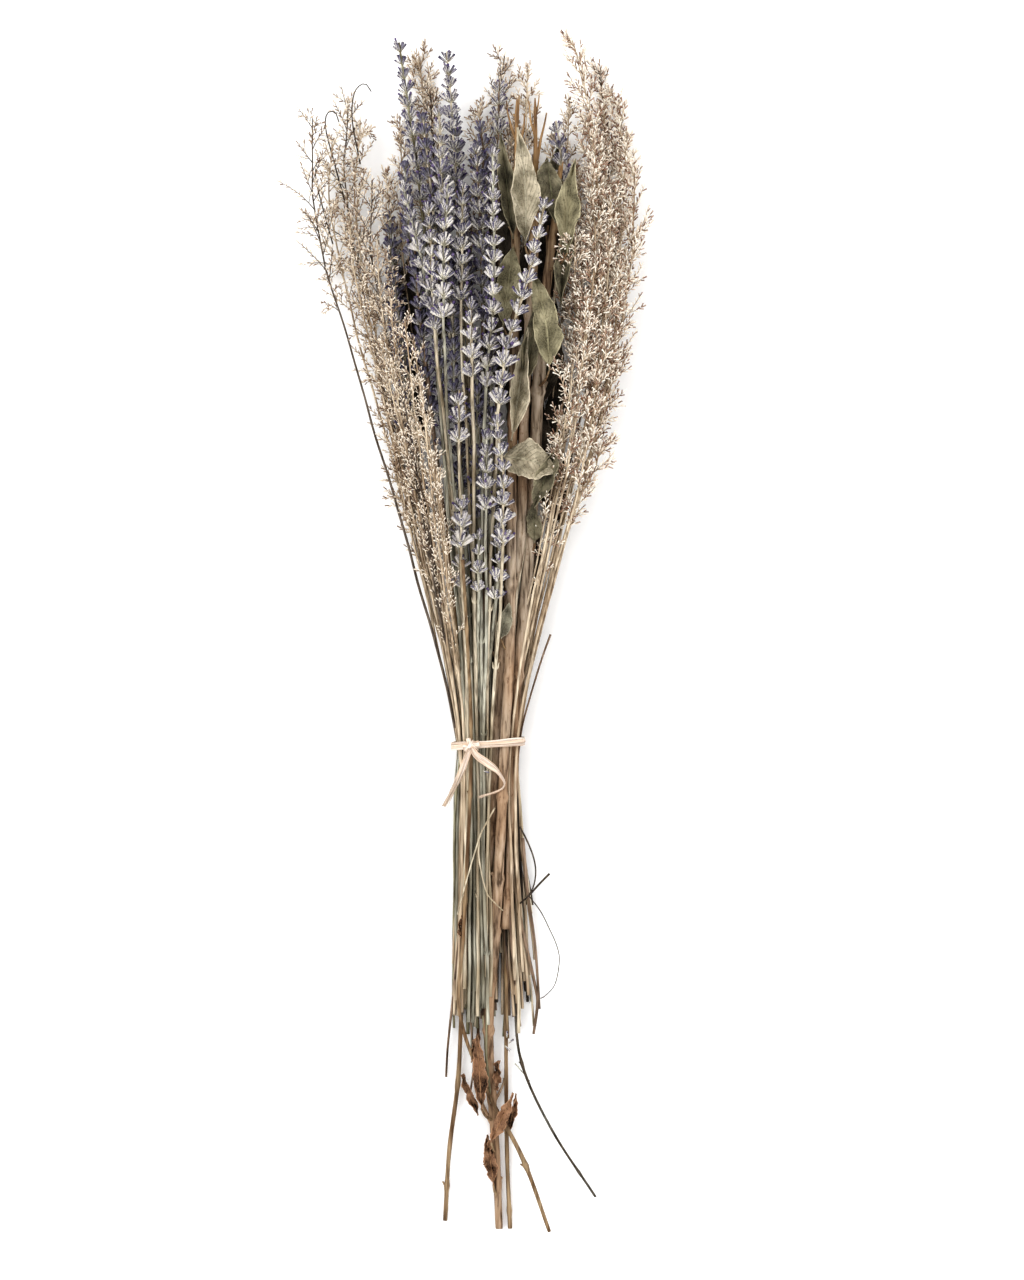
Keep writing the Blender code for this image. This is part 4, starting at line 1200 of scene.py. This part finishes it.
# foot, tip, width, height in millimetres, curl and twist
crumbs = [
    ((1, -241), (-6.5, -220), 6, 6, 1.4, 40), ((17, -250), (20.5, -230), 6, 5.5, 1.6, -50),
    ((4, -266), (8.5, -253), 5, 6, 1.3, 40), ((-2, -214), (1.5, -199), 6, 8, 1.5, -30),
    ((10, -228), (12, -213), 5, 7, 1.0, 60), ((-8, -150), (-6.5, -139), 4, 13, 1.2, 50),
]
# near-black leaves deep in the bunch, painted shade in the gaps: foot, tip, width, height and twist
paintedShadeLeaves = [
    ((22, 150), (30, 206), 17, 22, 12), ((34, 118), (40, 172), 16, 18, -10),
    ((24, 96), (22, 148), 18, 20, 8), ((35, 66), (32, 122), 16, 16, -14),
    ((20, 44), (22, 96), 15, 15, 10), ((40, 170), (38, 226), 15, 20, 16),
    ((12, 128), (10, 180), 14, 24, -8), ((30, 20), (28, 62), 11, 12, 12),
    ((14, 190), (20, 236), 13, 24, -12), ((-36, 140), (-33, 196), 15, 6, 12),
    ((-28, 96), (-33, 150), 14, 6, -10), ((-18, 150), (-16, 206), 15, 6, 9),
    ((42, 92), (42, 146), 13, 7, 12), ((40, 52), (43, 100), 12, 7, -8),
]
# foot, tip, width, height, fold and twist
foldedLeaves = [
    ((24, 128), (33, 172), 12, 34, 40, 30), ((40, 96), (30, 66), 14, 30, 44, -30),
    ((36, 212), (43, 250), 10, 24, 40, 36),
]
crumb = {**crumpled, "across": 12, "rows": 28, "torn": 3.5}
deep = {"fold": 12, "wave": 1.2, "crease": 0.8, "across": 12, "rows": 30}


def makeLooseLeaves():
    # bits of dead leaf caught between the stems, and leaves deep in the bunch, mostly painted near-black as
    # shade
    looseLeaves = [(*row[:4], "rust", {**crumb, "curl": row[4], "twist": row[5]}) for row in crumbs]
    looseLeaves += [(*row[:4], "shade", {**deep, "twist": row[4]}) for row in paintedShadeLeaves]
    looseLeaves += [(*row[:4], "dark", {**deep, "fold": row[4], "twist": row[5]}) for row in foldedLeaves]
    for n, (foot, tip, width, height, shade, style) in enumerate(looseLeaves, 1):
        ends = [np.array([(p[0] + shiftX) * mm, (p[1] + shiftY) * mm, height * mm]) for p in (foot, tip)]
        leaf = modelBlade(f"loose_leaf_{n:02d}", *ends, width * mm, style, shade, random.Random(40 + n))
        finishPiece(leaf)


makeLooseLeaves()
print("loose leaves made")


# bare stems inside the bunch, ragged at their cut ends
innerStems = {"count": 56, "tieFrom": -8.5, "tieTo": 22.5, "radius": (0.42, 0.98)}


def makeInnerStems():
    rng = random.Random(5)
    for n in range(innerStems["count"]):
        share = (n + 0.5) / innerStems["count"]
        tieX = innerStems["tieFrom"] + (innerStems["tieTo"] - innerStems["tieFrom"]) * share
        tieZ = rng.uniform(2.5, 18.0) * (1.0 - 0.35 * abs(2 * share - 1) ** 2)
        buttX = tieX * 1.12 + rng.uniform(-4.5, 4.5) + (4.0 if share > 0.8 else 0.0)
        buttY = rng.uniform(-160, -105) if rng.random() < 0.4 else rng.triangular(-214, -160, -188)
        topX = tieX * 1.5 + rng.uniform(-4, 4)
        points = np.array([
            (buttX, buttY, rng.uniform(1.2, max(1.4, tieZ * 0.7))),
            (tieX * 1.05 + rng.uniform(-2, 2), -90, tieZ * 0.85),
            (tieX, tieY / mm, tieZ),
            (tieX * 1.1 + rng.uniform(-1, 1), 0, tieZ * 1.15 + 1),
            (topX, rng.uniform(34, 92), tieZ * 1.3 + 3)]) * mm
        path = sway(smoothPath(points, stemStep), rng, rng.uniform(0.2, 0.8) * mm)
        radius = rng.uniform(*innerStems["radius"]) * mm
        store = newStore()
        addTube(store, path, taper(path, 1.08, 0.85) * radius, 7, 0)
        # painted shade: some inner stems take the near-black stalk, to darken the gaps
        stalk = rng.choice(stalkMaterials + [stalkMaterials[3], darkStalkAndPaintedShade, twigMaterial])
        makePiece(f"inner_stem_{n + 1:02d}", store, [stalk])


makeInnerStems()
print("inner stems made")


# loose hairs, stubs and loops that stand out of the bundle: points and radius in millimetres, and
# which of the stalk materials, 4 being the near-black one that is painted shade on the inner stems
strays = {
    "arched_hair": ([(27, -129, 13), (33, -137, 13), (37, -145, 12), (41, -154, 11), (42.5, -162, 9),
                     (40.5, -174, 6), (36, -180, 4), (33, -182, 3)], 0.26, 4),
    "loop_hair": ([(22.5, -94, 15), (26.5, -102, 15), (29.5, -110, 14), (30.5, -117, 13), (29.5, -124, 12),
                   (27, -129, 11)], 0.42, 4),
    "forked_stub": ([(37.5, -118, 12), (32, -123.5, 13), (27, -129, 13), (22.5, -133, 13)], 0.55, 4),
    "right_stub_1": ([(22, -138, 9), (26, -156, 8), (30, -174, 6), (31.5, -184, 5),
                      (29.5, -200, 3)], 0.9, 3),
    "right_stub_2": ([(24, -100, 12), (26.5, -128, 11), (29, -145, 10), (30.7, -160, 8),
                      (32.5, -187, 5)], 0.8, 3),
    "right_stub_3": ([(16, -120, 12), (19, -160, 9), (22.5, -196, 4)], 1.0, 3),
    "upper_twig": ([(38, 3, 14), (34, -8, 15), (29, -24, 15), (24, -42, 14), (22.5, -52, 13),
                    (21, -64, 12)], 0.5, 3),
    "crossing_hair_1": ([(2, -100, 23.5), (2, -110, 24), (5.5, -126, 24), (10, -132, 23),
                         (14, -136, 21)], 0.38, 0),
    "crossing_hair_2": ([(10, -84, 23.5), (5.5, -92, 24.5), (2.5, -98, 25), (-3, -116, 24),
                         (-9, -138, 19)], 0.4, 0),
    "left_stub": ([(-8, -150, 10), (-11, -178, 6), (-14, -205, 3), (-15, -222, 1.5)], 0.7, 3),
    "curled_tip_1": ([(-66, 222, 16), (-72, 244, 16), (-75.5, 258, 15), (-75, 266, 14), (-71, 267, 13),
                      (-69, 262, 13)], 0.36, 4),
    "curled_tip_2": ([(-58, 240, 18), (-62, 262, 18), (-61, 276, 17), (-56, 281, 16),
                      (-52.5, 277, 15)], 0.34, 4),
    "curled_tip_3": ([(-72, 200, 12), (-77, 218, 12), (-80.5, 232, 11), (-80.5, 241, 11),
                      (-77, 244, 10)], 0.34, 4),
    "foot_hair": ([(20, -215, 3), (23.5, -219, 3.5), (27.5, -224, 3)], 0.3, 1),
    "foot_stem": ([(4, -190, 9), (6, -215, 7), (8, -235, 5)], 0.75, 2),
    "foot_stem_2": ([(-3, -186, 8), (-1, -214, 6), (-3, -232, 4)], 0.6, 3),
}


def makeStrays():
    for name, (points, radius, colour) in strays.items():
        path = np.array(points, float)
        path[:, 0] += shiftX
        path[:, 1] += shiftY
        path = smoothPath(path * mm, 2.2 * mm)
        store = newStore()
        addTube(store, path, taper(path, 1.1, 0.8) * radius * mm, 7, 0)
        makePiece(name, store, [(stalkMaterials + [darkStalkAndPaintedShade])[colour]])


makeStrays()
print("stray stems made")


# the raffia tie; strips: each strip's place along the bunch, half width and lift, in millimetres
raffia = {
    "light": (0.95, 0.92, 0.88), "middle": (0.86, 0.80, 0.75), "dark": (0.50, 0.43, 0.38),
    "thick": 0.34 * mm, "ridges": 13, "ridgeHeight": 0.11 * mm, "fibre": 0.11 * mm, "lowest": 0.35 * mm,
    "strips": ((-1.25, 0.74, 0.05), (0.12, 0.92, 0.22), (1.3, 0.70, 0.0)), "slant": 0.07,
}


def makeRaffiaMaterial():
    # long fibres: streaks along the strip, the same wherever the strip's map is the same
    material, tree, shader = startMaterial("raffia", 0.75)
    uv = tree.nodes.new("ShaderNodeUVMap")
    uv.uv_map = "OFBake"
    fine = noise(tree, uv.outputs["UV"], 1.0, 3.0, (46.0, 5.0, 1.0))
    broad = noise(tree, uv.outputs["UV"], 1.0, 2.0, (9.0, 2.2, 1.0))
    base = ramp(tree, fine, [(0.30, raffia["dark"]), (0.48, raffia["middle"]), (0.66, raffia["light"])])
    warm = ramp(tree, broad, [(0.40, (1.0, 1.0, 1.0)), (0.65, (0.97, 0.89, 0.80))])
    tree.links.new(blendColours(tree, base, warm, 0.9, "MULTIPLY"), shader.inputs["Base Color"])
    addBump(tree, shader, fine, 0.0004, 0.8)
    return material


raffiaMaterial = makeRaffiaMaterial()


def addStrip(store, path, sides, ups, halves, rng, closed=False, strip=(0.0, 1.0)):
    # a flat fibrous strip: ridged along its length on both faces
    path, sides, ups = (np.asarray(a, float) for a in (path, sides, ups))
    rows, cols = len(path), raffia["ridges"]
    halves = np.broadcast_to(np.asarray(halves, float), rows)
    c = np.linspace(-1, 1, cols)
    ridge = np.array([rng.uniform(-1, 1) for _ in range(cols)]) * raffia["ridgeHeight"]
    thin = np.sqrt(np.clip(1.0 - c ** 6, 0.02, 1.0)) * raffia["thick"] / 2
    waves = np.array([[math.sin(r * 0.7 + phase) for r in range(rows)]
                      for phase in (anyTurn(rng), anyTurn(rng))])
    if closed:
        waves *= np.sin(np.linspace(0, math.pi, rows))[None]
    cup = 0.10 * mm * waves[0][:, None] * c[None] + 0.12 * mm * waves[1][:, None] * (c ** 2)[None]
    top = ridge[None] + thin[None] + cup
    under = (ridge[None] - thin[None] + cup)[:, ::-1]
    across = np.concatenate([c, c[::-1]])
    height = np.concatenate([top, under], 1)
    points = (path[:, None] + sides[:, None] * (across[None] * halves[:, None])[:, :, None]
              + ups[:, None] * height[:, :, None])
    around = 2 * cols
    low, high = bands["stalk"]

    def u(n):
        return strip[0] + (strip[1] - strip[0]) * (0.02 + 0.96 * n / around)

    def v(n):
        return low + (high - low) * n / rows

    tris, uvs = wallFaces(rows, around, rows if closed else rows - 1, u, v)
    # outwards is side x ahead; the faces are turned round where the strip runs the other way
    backwards = np.dot(np.cross(sides[0], ups[0]), path[1] - path[0]) < 0
    if backwards:
        tris, uvs = tris[:, ::-1], uvs[:, ::-1]
    if not closed:
        capTris, capUvs = [], []
        for row, turned in ((0, False), (rows - 1, True)):
            ids = row * around + np.arange(around)
            for n in range(cols - 1):
                quad = [ids[n], ids[n + 1], ids[around - 2 - n], ids[around - 1 - n]]
                if turned == backwards:
                    quad = quad[::-1]
                capTris += [quad[:3], [quad[0], *quad[2:]]]
                capUvs += [[[u(n), v(row)], [u(n + 1), v(row)], [u(n + 1), v(row) + 0.004]]] * 2
        tris, uvs = np.vstack([tris, capTris]), np.vstack([uvs, capUvs])
    addShape(store, points.reshape(-1, 3), tris, uvs, 0)


def bandLoop(count):
    # the band's outline round the stems, and the outward direction at each point
    flat = [Vector((x, z)) for x, _, z in pointsOf("raffia_band")]
    outline = np.array([flat[i][:] for i in convex_hull_2d(flat)])
    step = lengthsAlong(outline)[-1] / count
    loop = resample(np.vstack([outline, outline[:1]]), step)[:-1]
    for _ in range(2):
        loop = (np.roll(loop, 1, 0) + 2 * loop + np.roll(loop, -1, 0)) / 4
    ahead = np.roll(loop, -1, 0) - np.roll(loop, 1, 0)
    ahead /= np.linalg.norm(ahead, axis=1)[:, None]
    out = np.stack([ahead[:, 1], -ahead[:, 0]], 1)
    if np.sum(out * (loop - loop.mean(0))) < 0:
        out = -out
    return loop, out


def makeBand():
    rng = random.Random(11)
    loop, out = bandLoop(96)
    rows = len(loop)
    store = newStore()
    for n, (offset, half, lift) in enumerate(raffia["strips"]):
        wander = np.array([math.sin(2 * math.pi * k / rows * (2 + n) + n) for k in range(rows)]) * 0.22 * mm
        y = tieY + raffia["slant"] * (loop[:, 0] - 7.7 * mm) + offset * mm + wander
        path = np.stack([loop[:, 0] + out[:, 0] * lift * mm, y, loop[:, 1] + out[:, 1] * lift * mm], 1)
        path[:, 2] = np.maximum(path[:, 2], raffia["lowest"])
        ups = np.stack([out[:, 0], np.zeros(rows), out[:, 1]], 1)
        sides = np.tile((0.0, 1.0, 0.0), (rows, 1))
        addStrip(store, path, sides, ups, half * mm, rng, True, (n / 3, (n + 1) / 3))
    makePiece("tie_band", store, [raffiaMaterial], ("raffia_band",))


def tailHeights(node, line):
    # the mean height of the six nearest points of the node
    points = pointsOf(node)
    nearest = [np.argsort(np.hypot(points[:, 0] - p[0], points[:, 1] - p[1]))[:6] for p in line]
    return np.array([points[ids, 2].mean() for ids in nearest])


def makeTail(name, node, line, halves, rolls, rng, frayed):
    # line: x, y in millimetres; rolls: how far the strip leans over at each point, degrees
    flat = np.array([((x + shiftX) * mm, (y + shiftY) * mm, 0.0) for x, y in line])
    flat[:, 2] = tailHeights(node, flat)
    path = smoothPath(flat, 1.0 * mm)
    share = np.linspace(0, len(line) - 1, len(path))
    knots = np.arange(len(line))
    half = np.interp(share, knots, halves) * mm
    roll = np.radians(np.interp(share, knots, rolls))
    ahead, _, _ = framesAlong(path)
    level = np.cross(ahead, (0, 0, 1.0))
    level /= np.linalg.norm(level, axis=1)[:, None]
    lift = np.cross(level, ahead)
    sides = level * np.cos(roll)[:, None] + lift * np.sin(roll)[:, None]
    ups = np.cross(sides, ahead) * -1.0
    ups = np.where((ups[:, 2:3] < 0) & (np.abs(roll)[:, None] < 1.2), -ups, ups)
    store = newStore()
    addStrip(store, path, sides, ups, half, rng, False, (0.0, 0.6))
    # a second, narrower layer lies on one side of the first
    layer = path + ups * 0.16 * mm + sides * (half * 0.45)[:, None]
    addStrip(store, layer, sides, ups, half * 0.5, rng, False, (0.6, 0.9))
    for _ in range(frayed):
        # a few fibres part from the strip near its end
        first = int(len(path) * rng.uniform(0.35, 0.7))
        out = np.linspace(0, 1, len(path) - first) ** 1.6 * rng.uniform(-1.6, 1.6) * mm
        shift = (half[first:] * rng.uniform(-0.9, 0.9) + out)[:, None]
        fibre = path[first:] + sides[first:] * shift + ups[first:] * 0.25 * mm
        addTube(store, fibre, raffia["fibre"], 4, 0, strip=(0.92, 0.98))
    makePiece(name, store, [raffiaMaterial], (node,))


def makeKnot():
    # the two ends cross over the band and are pulled through: short bent strips round the crossing
    rng = random.Random(31)
    low, high = (np.array(c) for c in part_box("raffia_knot"))
    centre, half = (low + high) / 2, (high - low) / 2
    store = newStore()
    wraps = (
        # heading in degrees, half width, how far it reaches, height, shift
        (98, 1.35, 1.05, 0.72, (-0.9, 0.0)), (12, 1.6, 1.0, 0.55, (0.0, 0.2)),
        (-48, 1.3, 0.95, 0.86, (0.5, -0.3)), (52, 1.25, 0.9, 0.95, (-0.6, -0.4)),
    )
    for n, (heading, wide, reach, height, shift) in enumerate(wraps):
        turn = math.radians(heading)
        way = np.array([math.cos(turn), math.sin(turn), 0.0])
        length = reach * math.hypot(half[0] * way[0], half[1] * way[1])
        path, ups = [], []
        for k in range(15):
            a = math.pi * (0.04 + 0.92 * k / 14)
            path.append(centre + np.array([shift[0], shift[1], 0.0]) * mm + way * -math.cos(a) * length
                        + np.array([0, 0, (math.sin(a) * 1.7 - 0.9) * height * half[2]]))
            ups.append(way * -math.cos(a) * 0.8 + np.array([0, 0, math.sin(a) + 0.25]))
        path, ups = np.array(path), np.array(ups)
        ahead = np.gradient(path, axis=0)
        ahead /= np.linalg.norm(ahead, axis=1)[:, None]
        sides = np.cross(ahead, ups)
        sides /= np.linalg.norm(sides, axis=1)[:, None]
        ups = np.cross(sides, ahead)
        pinch = 1.0 - 0.22 * np.sin(np.linspace(0, math.pi, 15))
        addStrip(store, path, sides, ups, wide * pinch * mm, rng, False, (n / 4, (n + 1) / 4))
    makePiece("tie_knot", store, [raffiaMaterial], ("raffia_knot",))


makeBand()
makeKnot()
leftEnd = [(-2.5, -54.5), (-3.8, -57.5), (-7, -66), (-11, -75), (-16, -84)]
rightEnd = [(-1.5, -54), (0.8, -57.5), (6, -61.5), (11, -65.5), (14.2, -70), (14.6, -73), (12, -75.6),
            (6, -77.6), (1.5, -79)]
makeTail("tie_end_left", "raffia_tail_left", leftEnd, [1.3, 1.7, 1.8, 1.5, 1.0], [0, 10, 25, 40, 20],
         random.Random(3), 3)
makeTail("tie_end_right", "raffia_tail_right", rightEnd, [1.3, 1.8, 2.0, 1.8, 1.3, 1.0, 1.0, 0.9, 0.6],
         [0, 8, 10, 20, 45, 62, 58, 50, 35], random.Random(4), 3)
print("raffia tie made")


# florets that have dropped and caught among the stems
def makeFallenBits():
    rng = random.Random(17)
    store = newStore()
    fallen = newCopies()
    for spot in ((16.5, -202, 6), (17.5, -205, 5.5), (15.5, -206, 6), (4.5, -66, 24), (-6, 14, 27)):
        way = np.array([rng.uniform(-1, 1), rng.uniform(-1, 1), rng.uniform(-0.3, 0.3)])
        noteCopy(fallen, at=np.array(spot) * mm, ahead=way, size=rng.uniform(0.5, 0.75),
                 tint=rng.uniform(0.2, 0.55))
    fallen["roll"] = [anyTurn(rng) for _ in fallen["at"]]
    standCopies(store, cupShape, fallen, "cup", 0, lavender["ribContrast"])
    makePiece("caught_florets", store, [cupMaterial])


makeFallenBits()
print("fallen florets made")
